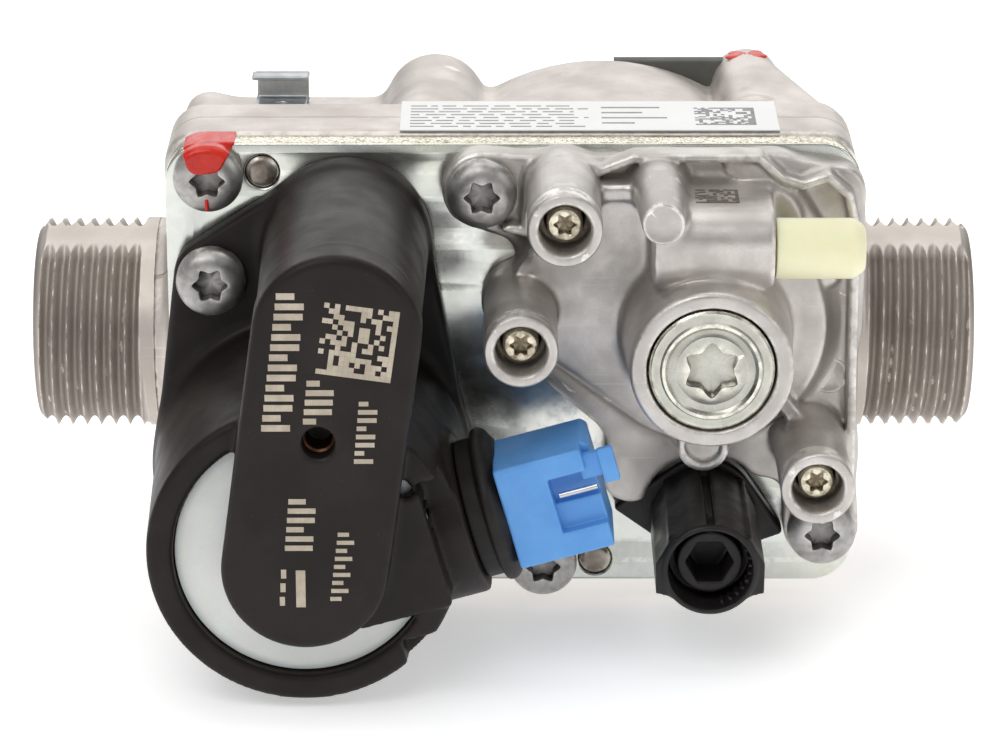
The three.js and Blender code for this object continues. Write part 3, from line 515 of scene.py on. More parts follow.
def path_field(x: Array, z: Array, path: Sequence[Point2], reach: float) -> Array:
    """Distance in the plane to an open path of straight pieces, less reach: a rail twice as wide.

    Args:
        x: X of the points, in millimetres.
        z: Z of the points.
        path: Its corners.
        reach: Half its width.

    Returns:
        The field.
    """
    near = np.full(np.broadcast(x, z).shape, np.inf)
    for (ax, az), (bx, bz) in zip(path, path[1:]):
        ex, ez = bx - ax, bz - az
        share = np.clip(((x - ax) * ex + (z - az) * ez) / (ex * ex + ez * ez), 0.0, 1.0)
        near = np.minimum(near, np.hypot(x - ax - share * ex, z - az - share * ez))
    return near - reach


def slab(across: Array, along: Array, start: float, end: float, edge: float = 0.0) -> Array:
    """A section carried from start to end along an axis, with its rim rounded by edge.

    The distance is that of a rounded box whose two sides are the section's own distance and the
    distance past the nearer end.

    Args:
        across: The section's field.
        along: Place along the axis.
        start: Where it starts.
        end: Where it ends.
        edge: Radius of its end edges.

    Returns:
        The field.
    """
    half = (end - start) / 2
    p, q = across + edge, np.abs(along - (start + end) / 2) - half + edge
    return np.minimum(np.maximum(p, q), 0.0) + np.hypot(np.maximum(p, 0.0), np.maximum(q, 0.0)) - edge


def block(x: Array, y: Array, z: Array, low: Point3, high: Point3, edge: float = 0.0) -> Array:
    """A box with rounded edges: the length of the part of |p - centre| beyond its inner box.

    Args:
        x: X of the points, in millimetres.
        y: Y of the points.
        z: Z of the points.
        low: Its lowest corner.
        high: Its highest corner.
        edge: Radius of its edges.

    Returns:
        The field.
    """
    gaps = [np.abs(v - (lo + hi) / 2) - (hi - lo) / 2 + edge for v, lo, hi in zip((x, y, z), low, high)]
    beyond = np.sqrt(sum(np.maximum(g, 0.0) ** 2 for g in gaps))
    return beyond + np.minimum(np.maximum(np.maximum(gaps[0], gaps[1]), gaps[2]), 0.0) - edge


def merged(*fields: Array, blend: float = 0.0) -> Array:
    """The union of fields: the smaller, less a quadratic dip of width blend where they are close.

    Args:
        fields: The fields.
        blend: Width of the seam.

    Returns:
        The union.
    """
    whole = fields[0]
    for other in fields[1:]:
        near = np.maximum(blend - np.abs(whole - other), 0.0) / blend if blend else 0.0
        whole = np.minimum(whole, other) - near * near * blend / 4.0
    return whole


def carved(whole: Array, *tools: Array, blend: float = 0.3) -> Array:
    """A field with tools cut out of it, each rim rounded by about blend.

    Args:
        whole: The field that is cut.
        tools: What is cut out of it.
        blend: Radius of the rims.

    Returns:
        What is left.
    """
    for tool in tools:
        whole = -merged(-whole, tool, blend=blend)
    return whole


def disc_field(x: Array, z: Array, centre: Point2, radius: float | Array) -> Array:
    """Distance from a circle in the plane of its first two arguments."""
    return np.hypot(x - centre[0], z - centre[1]) - radius


# ------------------------------------------------------------------ finishes
class Graph:
    """The node tree of one material, with short names for the nodes that the finishes use."""

    def __init__(self, name: str) -> None:
        """Starts a material of that name.

        Args:
            name: Name of the material.
        """
        self.material = bpy.data.materials.new(name)
        self.material.use_nodes = True
        self.tree = self.material.node_tree
        self.shader = self.tree.nodes["Principled BSDF"]
        self.place = self.node("ShaderNodeTexCoord").outputs["Object"]

    def node(self, kind: str, **settings: object) -> bpy.types.Node:
        """Adds a node and sets its properties.

        Args:
            kind: Blender's name for the kind of node.
            settings: Properties to set on it.

        Returns:
            The node.
        """
        made = self.tree.nodes.new(kind)
        for key, value in settings.items():
            setattr(made, key, value)
        return made

    def feed(self, node: bpy.types.Node, **values: object) -> bpy.types.Node:
        """Sets or links a node's inputs; an underscore in a name stands for a space.

        Args:
            node: The node.
            values: Each input and its value or socket.

        Returns:
            The node.
        """
        for key, value in values.items():
            entry = node.inputs[int(key[1:]) if key[0] == "_" else key.replace("_", " ")]
            if isinstance(value, bpy.types.NodeSocket):
                self.tree.links.new(value, entry)
            else:
                entry.default_value = value
        return node

    def stretched(self, stretch: Point3) -> bpy.types.NodeSocket:
        """Object coordinates scaled along each axis."""
        mapping = self.node("ShaderNodeMapping")
        return self.feed(mapping, Vector=self.place, Scale=stretch).outputs["Vector"]

    def noise(
        self, size_mm: float, detail: float = 3.0, rough: float = 0.55, stretch: Point3 = (1, 1, 1)
    ) -> bpy.types.NodeSocket:
        """Soft noise whose features are about size_mm across.

        Args:
            size_mm: Size of its features.
            detail: How many finer octaves it has.
            rough: How strong they are.
            stretch: The pattern's length along X, Y and Z.

        Returns:
            The socket that carries it.
        """
        made = self.node("ShaderNodeTexNoise")
        vector = self.place if stretch == (1, 1, 1) else self.stretched(stretch)
        self.feed(made, Vector=vector, Scale=1.0 / (size_mm * MM), Detail=detail, Roughness=rough)
        return made.outputs["Fac"]

    def cells(self, size_mm: float) -> bpy.types.NodeSocket:
        """Distance to the nearest of scattered points about size_mm apart."""
        made = self.node("ShaderNodeTexVoronoi")
        return self.feed(made, Vector=self.place, Scale=1.0 / (size_mm * MM)).outputs["Distance"]

    def spread(self, value: bpy.types.NodeSocket, start: float, end: float, low: float = 0.0, high: float = 1.0):
        """A value from start to end carried to low to high, and held there beyond.

        Args:
            value: The value.
            start: The value that becomes low.
            end: The value that becomes high.
            low: What start becomes.
            high: What end becomes.
        """
        made = self.node("ShaderNodeMapRange", interpolation_type="SMOOTHSTEP")
        self.feed(made, Value=value, _1=start, _2=end, _3=low, _4=high)
        return made.outputs["Result"]

    def sums(self, kind: str, first: object, second: object) -> bpy.types.NodeSocket:
        """The result of a Math node of that kind."""
        return self.feed(self.node("ShaderNodeMath", operation=kind), _0=first, _1=second).outputs[0]

    def mixed(self, share: object, first: object, second: object) -> bpy.types.NodeSocket:
        """Two colours mixed; share is how much of the second.

        Args:
            share: How much of the second there is.
            first: The first colour.
            second: The second colour.

        Returns:
            The socket that carries it.
        """
        made = self.node("ShaderNodeMix", data_type="RGBA")
        colours = [c if isinstance(c, bpy.types.NodeSocket) else (*c, 1.0) for c in (first, second)]
        self.feed(made, _0=share, _6=colours[0], _7=colours[1])
        return made.outputs[2]

    def bumped(self, height: object, depth_mm: float, normal: object = None) -> bpy.types.NodeSocket:
        """A normal shaken by a height field of that depth.

        Args:
            height: The height, from 0 to 1.
            depth_mm: What a height of 1 stands for.
            normal: The normal that is shaken, if not the face's own.

        Returns:
            The socket that carries it.
        """
        made = self.node("ShaderNodeBump")
        self.feed(made, Height=height, Strength=1.0, Distance=depth_mm * MM)
        if normal is not None:
            self.feed(made, Normal=normal)
        return made.outputs["Normal"]

    def edges(self, start: float = 0.51, end: float = 0.56) -> bpy.types.NodeSocket:
        """How much of an outer edge a point lies on, from its pointiness."""
        return self.spread(self.node("ShaderNodeNewGeometry").outputs["Pointiness"], start, end)

    def parts(self, vector: object) -> list[bpy.types.NodeSocket]:
        """The three parts of a vector."""
        split = self.feed(self.node("ShaderNodeSeparateXYZ"), Vector=vector)
        return list(split.outputs)


@dataclass(frozen=True)
class Finish:
    """A surface: two tints in patches, a fine grain, a range of roughness, rubbed edges and painted shade in
    hollows.
    """

    name: str
    light: Colour
    dark: Colour
    metallic: float = 0.0
    rough: tuple[float, float] = (0.4, 0.5)
    patch_mm: float = 7.0
    grain_mm: float = 0.4
    grain_depth_mm: float = 0.012
    rubbed: Colour | None = None
    coat: float = 0.0
    glow: float = 0.0
    shine: float = 0.5
    hollow_shade_tint: Colour | None = None

    def tint(self, graph: Graph) -> bpy.types.NodeSocket:
        """Colour: the two tints mixed by coarse noise, then shaken by the grain.

        Args:
            graph: The material's graph.

        Returns:
            The socket that carries it.
        """
        patches = graph.spread(graph.noise(self.patch_mm), 0.35, 0.68)
        base = graph.mixed(patches, self.dark, self.light)
        grain = graph.spread(graph.noise(self.grain_mm, 2.0), 0.3, 0.7, 0.0, 0.35)
        return graph.mixed(grain, base, self.dark)

    def height(self, graph: Graph) -> bpy.types.NodeSocket:
        """The normal shaken by the grain and by a slow unevenness."""
        slow = graph.bumped(graph.noise(self.patch_mm * 0.4, 1.0), self.grain_depth_mm * 4.0)
        return graph.bumped(graph.noise(self.grain_mm, 4.0, 0.6), self.grain_depth_mm, slow)

    def material(self) -> bpy.types.Material:
        """The material, made once.

        Returns:
            The material.
        """
        known = bpy.data.materials.get(self.name)
        if known:
            return known
        graph = Graph(self.name)
        colour = self.tint(graph)
        if self.rubbed:
            worn = graph.sums("MULTIPLY", graph.edges(), graph.spread(graph.noise(1.3), 0.35, 0.6))
            colour = graph.mixed(worn, colour, self.rubbed)
        # Painted shade: where pointiness marks a hollow, the colour is mixed towards a dark tint.
        if self.hollow_shade_tint:
            pointed = graph.node("ShaderNodeNewGeometry").outputs["Pointiness"]
            hollow_shade_mask = graph.spread(pointed, 0.40, 0.49, 0.9, 0.0)
            colour = graph.mixed(hollow_shade_mask, colour, self.hollow_shade_tint)
        roughness = graph.spread(graph.noise(self.patch_mm * 0.6, 4.0), 0.3, 0.7, *self.rough)
        graph.feed(graph.shader, Base_Color=colour, Roughness=roughness, Normal=self.height(graph))
        graph.feed(graph.shader, Metallic=self.metallic, Coat_Weight=self.coat, Coat_Roughness=0.12)
        graph.feed(graph.shader, Specular_IOR_Level=self.shine)
        if self.glow:
            graph.feed(graph.shader, Subsurface_Weight=self.glow, Subsurface_Scale=0.002)
        return graph.material


@dataclass(frozen=True)
class CastFinish(Finish):
    """Die-cast alloy: a fine skin, brown oil tints in patches, pits, scratches and a parting line."""

    stain: Colour = (0.34, 0.25, 0.17)
    parting_y: float | None = None

    def tint(self, graph: Graph) -> bpy.types.NodeSocket:
        """The base tints, a brown stain in streaks, dark pits, and a thin dark line at the parting.

        Args:
            graph: The material's graph.

        Returns:
            The socket that carries it.
        """
        base = super().tint(graph)
        stains = graph.spread(graph.noise(9.0, 5.0, 0.65, (1, 1, 0.5)), 0.56, 0.8, 0.0, 0.35)
        base = graph.mixed(stains, base, self.stain)
        pits = graph.spread(graph.cells(1.7), 0.05, 0.14, 0.5, 0.0)
        base = graph.mixed(pits, base, self.dark)
        scratch = graph.spread(graph.noise(2.4, 1.0, 0.5, (0.18, 1.0, 6.0)), 0.70, 0.74, 0.0, 0.5)
        base = graph.mixed(scratch, base, self.light)
        if self.parting_y is not None:
            line = self.line(graph)
            base = graph.mixed(graph.sums("MULTIPLY", line, 0.55), base, self.stain)
        return base

    def line(self, graph: Graph) -> bpy.types.NodeSocket:
        """1 within a tenth of a millimetre of the parting plane, which waves a little.

        Args:
            graph: The material's graph.

        Returns:
            The socket that carries it.
        """
        _, y, _ = graph.parts(graph.place)
        sway = graph.spread(graph.noise(5.0), 0.0, 1.0, -0.15 * MM, 0.15 * MM)
        plane = graph.sums("ADD", sway, self.parting_y * MM)
        gap = graph.sums("ABSOLUTE", graph.sums("SUBTRACT", y, plane), 0.0)
        return graph.spread(gap, 0.06 * MM, 0.24 * MM, 1.0, 0.0)

    def height(self, graph: Graph) -> bpy.types.NodeSocket:
        """The grain, with the parting line standing a little proud."""
        base = super().height(graph)
        return base if self.parting_y is None else graph.bumped(self.line(graph), 0.12, base)


@dataclass(frozen=True)
class ThreadFinish(CastFinish):
    """A cast thread: painted shade darkens the roots, and a painted highlight brightens the crests."""

    root_mm: float = 12.05
    crest_mm: float = 13.2

    def tint(self, graph: Graph) -> bpy.types.NodeSocket:
        """The cast tints, with painted shade darker the nearer a point lies to the root radius, and a painted
        highlight at the crest.

        Args:
            graph: The material's graph.

        Returns:
            The socket that carries it.
        """
        base = super().tint(graph)
        _, y, z = graph.parts(graph.place)
        squares = graph.sums("ADD", graph.sums("MULTIPLY", y, y), graph.sums("MULTIPLY", z, z))
        radius = graph.sums("SQRT", squares, 0)
        # Painted shade in the thread roots: darker towards the root radius.
        deep = graph.spread(radius, self.root_mm * MM, (self.crest_mm - 0.25) * MM, 0.75, 0.0)
        inner = graph.spread(radius, (self.root_mm - 0.9) * MM, (self.root_mm - 0.6) * MM, 0.0, 1.0)
        base = graph.mixed(graph.sums("MULTIPLY", deep, inner), base, (0.25, 0.215, 0.185))
        # Painted highlight on the thread crests.
        bright = graph.spread(radius, (self.crest_mm - 0.14) * MM, self.crest_mm * MM, 0.0, 0.4)
        return graph.mixed(bright, base, (0.80, 0.74, 0.66))


@dataclass(frozen=True)
class ZincFinish(Finish):
    """Zinc sheet, passivated: nearly a mirror in front, with a sheared, speckled rim."""

    def tint(self, graph: Graph) -> bpy.types.NodeSocket:
        """Faint yellow-green and blue-grey clouds, and gold and black speckles where the normal leaves Y.

        Args:
            graph: The material's graph.

        Returns:
            The socket that carries it.
        """
        base = super().tint(graph)
        clouds = graph.spread(graph.noise(16.0, 3.0), 0.42, 0.62, 0.0, 0.45)
        base = graph.mixed(clouds, base, (0.74, 0.76, 0.62))
        _, facing, _ = graph.parts(graph.node("ShaderNodeNewGeometry").outputs["Normal"])
        rim = graph.spread(graph.sums("ABSOLUTE", facing, 0.0), 0.25, 0.6, 1.0, 0.0)
        speckle = graph.spread(graph.noise(0.32, 3.0, 0.6), 0.42, 0.60, 0.0, 1.0)
        sheared = graph.mixed(speckle, (0.26, 0.22, 0.15), (0.84, 0.77, 0.58))
        return graph.mixed(rim, base, sheared)


@dataclass(frozen=True)
class MouldedFinish(Finish):
    """Moulded plastic: an even satin skin with a sparse, paler dust of fine specks."""

    speck: Colour = (0.16, 0.15, 0.14)

    def tint(self, graph: Graph) -> bpy.types.NodeSocket:
        """The base tints with fine paler specks."""
        specks = graph.spread(graph.cells(1.7), 0.02, 0.05, 0.3, 0.0)
        return graph.mixed(specks, super().tint(graph), self.speck)


class Finishes:
    """Every finish of the valve."""

    casting = CastFinish("cast_alloy", (0.73, 0.68, 0.64), (0.58, 0.535, 0.50), 0.80, (0.40, 0.56), 8.0,
                         0.30, 0.016, rubbed=(0.88, 0.84, 0.79), parting_y=-9.6)
    thread = ThreadFinish("cast_thread", (0.66, 0.61, 0.575), (0.54, 0.495, 0.465), 0.80, (0.46, 0.60), 8.0,
                          0.30, 0.008, rubbed=(0.86, 0.81, 0.74))
    # Its dark brown hollow tint is painted shade in the casting's pockets.
    servo = CastFinish("cast_alloy_fine", (0.66, 0.625, 0.595), (0.50, 0.47, 0.445), 0.80, (0.34, 0.50), 7.0,
                       0.28, 0.014, rubbed=(0.86, 0.83, 0.79), hollow_shade_tint=(0.17, 0.15, 0.13))
    # Painted shade: a dark finish for the sheet behind the drum, standing in for the casting's shadow there.
    shade_web = Finish("painted_shade_sheet", (0.15, 0.15, 0.14), (0.11, 0.11, 0.10), 0.3, (0.55, 0.70), 9.0, 0.4, 0.004)
    zinc = ZincFinish("zinc_sheet", (0.71, 0.73, 0.69), (0.62, 0.64, 0.61), 0.95, (0.16, 0.30), 12.0,
                      0.45, 0.004, rubbed=(0.86, 0.85, 0.80))
    # Its near-black hollow tint is painted shade in the recess and under the head.
    screw = Finish("plated_screw", (0.45, 0.44, 0.43), (0.32, 0.31, 0.30), 0.9, (0.36, 0.50), 3.0,
                   0.25, 0.006, rubbed=(0.84, 0.82, 0.78), hollow_shade_tint=(0.07, 0.055, 0.045))
    pin = Finish("hardened_pin", (0.36, 0.31, 0.265), (0.21, 0.18, 0.15), 0.85, (0.26, 0.42), 2.0,
                 0.25, 0.006, rubbed=(0.74, 0.70, 0.64))
    core = Finish("turned_steel", (0.64, 0.64, 0.65), (0.52, 0.52, 0.53), 0.95, (0.20, 0.34), 4.0, 0.3, 0.004)
    tab = Finish("sheared_strip", (0.55, 0.57, 0.58), (0.40, 0.42, 0.43), 0.9, (0.30, 0.42), 3.0, 0.3, 0.003)
    wire = Finish("spring_wire", (0.55, 0.54, 0.53), (0.38, 0.37, 0.36), 0.9, (0.28, 0.40), 2.0, 0.25, 0.004)
    coil = MouldedFinish("coil_moulding", (0.019, 0.0145, 0.013), (0.012, 0.009, 0.008), 0.0, (0.38, 0.50), 9.0,
                         0.35, 0.006, shine=0.22)
    knob = MouldedFinish("knob_moulding", (0.021, 0.0185, 0.018), (0.013, 0.0115, 0.011), 0.0, (0.30, 0.44), 4.0,
                         0.3, 0.005, shine=0.28)
    seal = Finish("black_rubber", (0.020, 0.0175, 0.0165), (0.012, 0.0105, 0.010), 0.0, (0.46, 0.62), 5.0, 0.3,
                  0.008, shine=0.30)
    bobbin = Finish("pale_moulding", (0.88, 0.88, 0.86), (0.80, 0.80, 0.775), 0.0, (0.32, 0.42), 9.0, 0.4, 0.003,
                    glow=0.3)
    plug = MouldedFinish("blue_moulding", (0.125, 0.375, 0.80), (0.095, 0.32, 0.73), 0.0, (0.32, 0.44), 6.0,
                         0.3, 0.004, glow=0.15)
    nylon = Finish("pale_nylon", (0.93, 0.915, 0.66), (0.88, 0.865, 0.58), 0.0, (0.30, 0.42), 9.0, 0.35, 0.004,
                   glow=0.35)
    # Its dark hollow tint is painted shade in the recess.
    brass = Finish("tinted_brass", (0.72, 0.66, 0.50), (0.46, 0.40, 0.29), 0.9, (0.26, 0.42), 1.2, 0.22, 0.020,
                   rubbed=(0.88, 0.82, 0.66), hollow_shade_tint=(0.13, 0.10, 0.06))
    copper = Finish("coil_wire", (0.20, 0.085, 0.04), (0.10, 0.045, 0.022), 0.8, (0.30, 0.45), 2.0, 0.2, 0.010)
    paper = Finish("label_stock", (0.96, 0.96, 0.95), (0.93, 0.93, 0.92), 0.0, (0.55, 0.70), 6.0, 0.3, 0.002)
    print_grey = Finish("label_print", (0.36, 0.36, 0.37), (0.26, 0.26, 0.27), 0.0, (0.5, 0.65), 3.0, 0.2, 0.002)
    marking = Finish("laser_mark", (0.56, 0.49, 0.39), (0.42, 0.36, 0.28), 0.0, (0.5, 0.65), 2.0, 0.18, 0.003)
    engraved = Finish("engraved_mark", (0.20, 0.165, 0.145), (0.12, 0.10, 0.09), 0.3, (0.5, 0.65), 2.0, 0.18, 0.004)
    seal_paint = Finish("seal_lacquer", (0.76, 0.034, 0.014), (0.62, 0.020, 0.010), 0.0, (0.22, 0.36), 2.2,
                        0.5, 0.016, coat=0.1, shine=0.35)
    # Its dark hollow tint is painted shade in the recess.
    cap = Finish("polished_cap", (0.56, 0.56, 0.51), (0.43, 0.43, 0.385), 0.95, (0.20, 0.32), 3.0, 0.25, 0.003,
                 rubbed=(0.92, 0.88, 0.76), hollow_shade_tint=(0.24, 0.22, 0.17))


# ------------------------------------------------------------------ shared places
MAIN: Point2 = (-23.4, -10.9)
PILOT: Point2 = (-19.0, 17.7)
OUTLET: Point2 = (12.5, 1.5)
SERVO: Point2 = (24.4, 8.4)
THROTTLE: Point2 = (24.6, -16.5)
PILOT_PORT: Point2 = (8.5, 17.6)
BREATHER: Point2 = (-34.2, 21.0)
SCREWS = {
    "plate_screw_top": ((-35.6, 25.6), -20.0),
    "plate_screw_bottom": ((4.9, -24.4), -20.0),
    "coil_screw": ((-35.3, 13.6), -23.5),
    "servo_screw_left": ((-2.6, 24.8), -24.0),
    "servo_screw_bottom": ((39.1, -18.6), -24.0),
}
PINS = {"dowel_pin_top": (-29.1, 26.0), "dowel_pin_bottom": (11.4, -24.4)}
TAPS = {"inlet_tap": (2.0, 10.7), "outlet_tap": (37.2, -6.5), "servo_tap": (7.1, 25.6)}


def code_square(seed: int, cells: int, side: float, height: float, low: float = 0.0) -> tuple[Array, Array]:
    """A made-up square of small blocks in the XZ plane, with a solid L along two sides.

    Args:
        seed: Seed of the random fill.
        cells: Cells along a side.
        side: Side in millimetres.
        height: How far it stands towards the front.
        low: Y of its back.

    Returns:
        The low and high corners of its blocks, from a corner at the origin.
    """
    filled = np.random.default_rng(seed).random((cells, cells)) < 0.48
    filled[-1, :], filled[:, 0] = True, True
    filled[0, 1::2], filled[::2, -1] = False, True
    at = np.argwhere(filled) * side / cells
    pitch = side / cells
    start = np.stack([at[:, 0], np.full(len(at), low - height), at[:, 1]], axis=1)
    return start, start + np.array([pitch * 0.98, height, pitch * 0.98])


def bars(rows: Sequence[tuple[float, float, float, float]], y: float, height: float) -> tuple[Array, Array]:
    """Plain bars (x, z, length, thickness) standing height in front of the plane y.

    Args:
        rows: Each bar.
        y: Y of the face behind them.
        height: How far they stand out.

    Returns:
        The low corners and the high corners.
    """
    r = np.array(rows)
    start = np.stack([r[:, 0], np.full(len(r), y - height), r[:, 1]], axis=1)
    return start, start + np.stack([r[:, 2], np.full(len(r), height), r[:, 3]], axis=1)


# ------------------------------------------------------------------ casting
@dataclass
class Casting:
    """The aluminium body: flange, back block, drum, hump, bosses, two ports and their hollows."""

    flange: tuple[float, float, float, float, float] = (-41.3, -27.0, 43.0, 29.8, 4.5)
    front: float = -16.0
    flange_back: float = -3.0
    back: float = 20.0
    drum_radius: float = 28.45
    collar_end: float = 43.6
    port_end: float = 58.5
    bore: float = 9.5
    thread_crest: float = 13.2
    thread_depth: float = 1.16
    thread_pitch: float = 1.814
    parting_lean: float = 15.0
    step: float = 0.58

    def outside(self, x: Array, y: Array, z: Array) -> Array:
        """The outer form: sections along Y with a slight draft, blended, and held inside flat faces.

        Args:
            x: X of the points, in millimetres.
            y: Y of the points.
            z: Z of the points.

        Returns:
            The field.
        """
        draft = (y - self.flange_back) * 0.018
        root = self.flange_back - 3.0
        outline = outline_field(x, z, rectangle(*self.flange))
        flange = slab(outline, y, self.front, self.flange_back, 0.9)
        block_outline = outline_field(x, z, rectangle(-38.0, -26.5, OUTLET[0], 24.5, 4.5))
        left = slab(block_outline + draft, y, root, self.back, 1.5)
        drum = slab(disc_field(x, z, OUTLET, self.drum_radius) + draft, y, root, self.back - 2.2, 1.3)
        hump = slab(disc_field(x, z, (-8.7, 23.4), 6.75) + draft, y, root, self.back, 0.7)
        left_boss = slab(disc_field(x, z, (-37.9, 21.4), 3.4) + draft * 0.3, y, root, self.back, 0.6)
        plan = np.array([(12.5, -6.0), (40.8, -6.0), (33.8, 20.0), (12.5, 20.0)])
        right = slab(outline_field(x, y, plan), z, -21.5, 22.5, 1.4)
        shoulder_plan = np.array([(28.4, -6.0), (40.8, -6.0), (33.8, 20.0), (28.4, 20.0)])
        shoulder = slab(outline_field(x, y, shoulder_plan), z, -10.0, 29.8, 1.4)
        whole = merged(left, drum, hump, left_boss, right, shoulder, blend=2.2)
        collars = slab(np.hypot(y, z) - self.thread_crest, x, -self.collar_end, self.collar_end, 0.5)
        whole = merged(merged(whole, flange, blend=1.2), collars, blend=2.0)
        held = block(x, y, z, (-50.0, self.front, -26.95), (50.0, self.back, 29.8), 0.6)
        held = np.minimum(held, drum)
        boss = slab(disc_field(x, z, (31.2, 26.0), 4.4), y, -2.2, self.back, 0.5)
        return np.maximum(merged(np.maximum(whole, held), boss, blend=0.8), y - 19.96)

    @staticmethod
    def shade_web() -> Array:
        """The outline of the dark sheet by the right boss, a sheet of painted shade where the casting lies in
        shadow: it ends along the rear cover's rim.

        Returns:
            Its corners, in X and Z.
        """
        angle = np.radians(np.linspace(86.0, 46.0, 24))
        rim = np.stack([OUTLET[0] + 25.3 * np.cos(angle), OUTLET[1] + 25.3 * np.sin(angle)], axis=1)
        return np.vstack([rim, [(29.9, 29.35), (14.2, 29.35)]])

    def hollows(self, x: Array, y: Array, z: Array) -> list[Array]:
        """Bores, valve chambers, passage, diaphragm room, channels and screw holes.

        Args:
            x: X of the points, in millimetres.
            y: Y of the points.
            z: Z of the points.

        Returns:
            One field for each.
        """
        pipe = np.hypot(y, z) - self.bore

        def hole(centre: Point2, radius: float, start: float, end: float) -> Array:
            """A round hole along Y."""
            return slab(disc_field(x, z, centre, radius), y, start, end)

        opened = self.front - 1.0
        made = [
            slab(pipe, x, -60.0, -32.2),
            slab(pipe, x, 23.5, 60.0),
            hole(MAIN, 13.0, opened, 4.0),
            hole(MAIN, 7.0, opened, 9.0),
            block(x, y, z, (-30.8, 8.0, -18.3), (21.0, 14.0, 20.1)),
            hole(OUTLET, 14.0, opened, 4.0),
            hole(OUTLET, 8.0, opened, 9.0),
            hole(OUTLET, 21.0, 11.3, 21.0),
            hole(OUTLET, 25.0, 16.0, 21.0),
            hole(PILOT, 6.5, opened, -3.0),
            hole(PILOT, 2.2, opened, 9.0),
            block(x, y, z, (-19.0, opened, 16.1), (10.0, -13.0, 19.1)),
            hole(THROTTLE, 5.2, opened, -4.0),
            block(x, y, z, (20.4, -14.0, -16.5), (28.8, -4.4, -4.75)),
            hole(SERVO, 2.0, opened, 0.0),
        ]
        made += [hole(centre, 2.3, opened, -8.5) for centre, _ in SCREWS.values()]
        made += [hole(centre, 2.2, opened, -8.5) for centre in PINS.values()]
        made += [hole(RearCover.screw_place(i), 1.5, 10.0, 17.0) for i in range(4)]
        return made

    def body(self) -> Shell:
        """The skin of the outer form less the hollows.

        Returns:
            The surface.
        """
        lattice = Lattice((-45.0, -17.0, -31.0), (45.5, 21.5, 31.5), self.step)
        x, y, z = lattice.axes()
        return lattice.skin(carved(self.outside(x, y, z), *self.hollows(x, y, z), blend=0.35))

    def port(self, side: int) -> Shell:
        """A threaded port as a closed tube: the outer wall is r(x, a), the inner one the bore.

        The outer radius is the crest less depth times |sin(pi f)| to the power 0.8, where f is the
        fraction of a turn, x / pitch - a / 2 pi: a sharp crest and a wide round root. Towards the top
        and bottom, where the mould parts, the groove gets shallower until it ends in a point. The last
        millimetre and a half is chamfered.

        Args:
            side: -1 for the inlet, 1 for the outlet.

        Returns:
            The tube.
        """
        columns, start = 176, self.collar_end - 0.2
        angle = np.linspace(0.0, TAU, columns, endpoint=False)[None, :]
        x = np.linspace(start, self.port_end, 168)[:, None]
        turns = np.abs(np.sin(math.pi * ((x - start) / self.thread_pitch - side * angle / TAU))) ** 0.8
        fade_start = fade_width = 9.0
        leaning = angle + math.radians(self.parting_lean)
        from_parting = np.degrees(np.abs(np.abs((leaning + math.pi) % TAU - math.pi) - math.pi / 2))
        fade = np.clip((from_parting - fade_start) / fade_width, 0.0, 1.0)
        fade = fade * np.clip((x - start - 1.2) / 0.9, 0.0, 1.0)
        groove = self.thread_depth * np.maximum(turns - (1.0 - fade), 0.0)
        radius = self.thread_crest - groove
        chamfer = self.thread_crest - np.maximum(x - (self.port_end - 1.35), 0.0) ** 1.25 * 0.95
        radius = np.minimum(radius, chamfer)
        inner = [(10.6, self.port_end), (10.1, self.port_end - 0.05), (self.bore - 0.05, self.port_end - 0.6),
                 (self.bore - 0.05, start), (12.0, start)]
        inner_radius = np.array([r for r, _ in inner])[:, None] * np.ones_like(angle)
        inner_x = np.array([v for _, v in inner])[:, None]
        all_x = np.concatenate([x, inner_x]) * np.ones_like(angle)
        all_radius = np.concatenate([radius, inner_radius])
        around = angle * np.ones_like(all_x)
        points = placed_round(all_radius.ravel(), around.ravel(), side * all_x.ravel(), Axis.X, (0.0, 0.0))
        return Shell(points, grid_faces(len(all_x), columns, closed_rows=True))

    def build(self) -> None:
        """Makes the body and both ports."""
        dress = Dress("cast_aluminium", replaces=("valve_body",), crease=60.0)
        make_piece("casting", self.body(), Finishes.casting, dress)
        # Painted shade: a dark sheet stands where the casting behind the drum lies in shadow.
        sheet_piece("rear_shade_web", self.shade_web(), (), 17.4, 19.4, 0.3, Finishes.shade_web, Dress("cast_aluminium"))
        for name, side in (("inlet_port", -1), ("outlet_port", 1)):
            make_piece(name, self.port(side), Finishes.thread, Dress("cast_aluminium", crease=50.0))


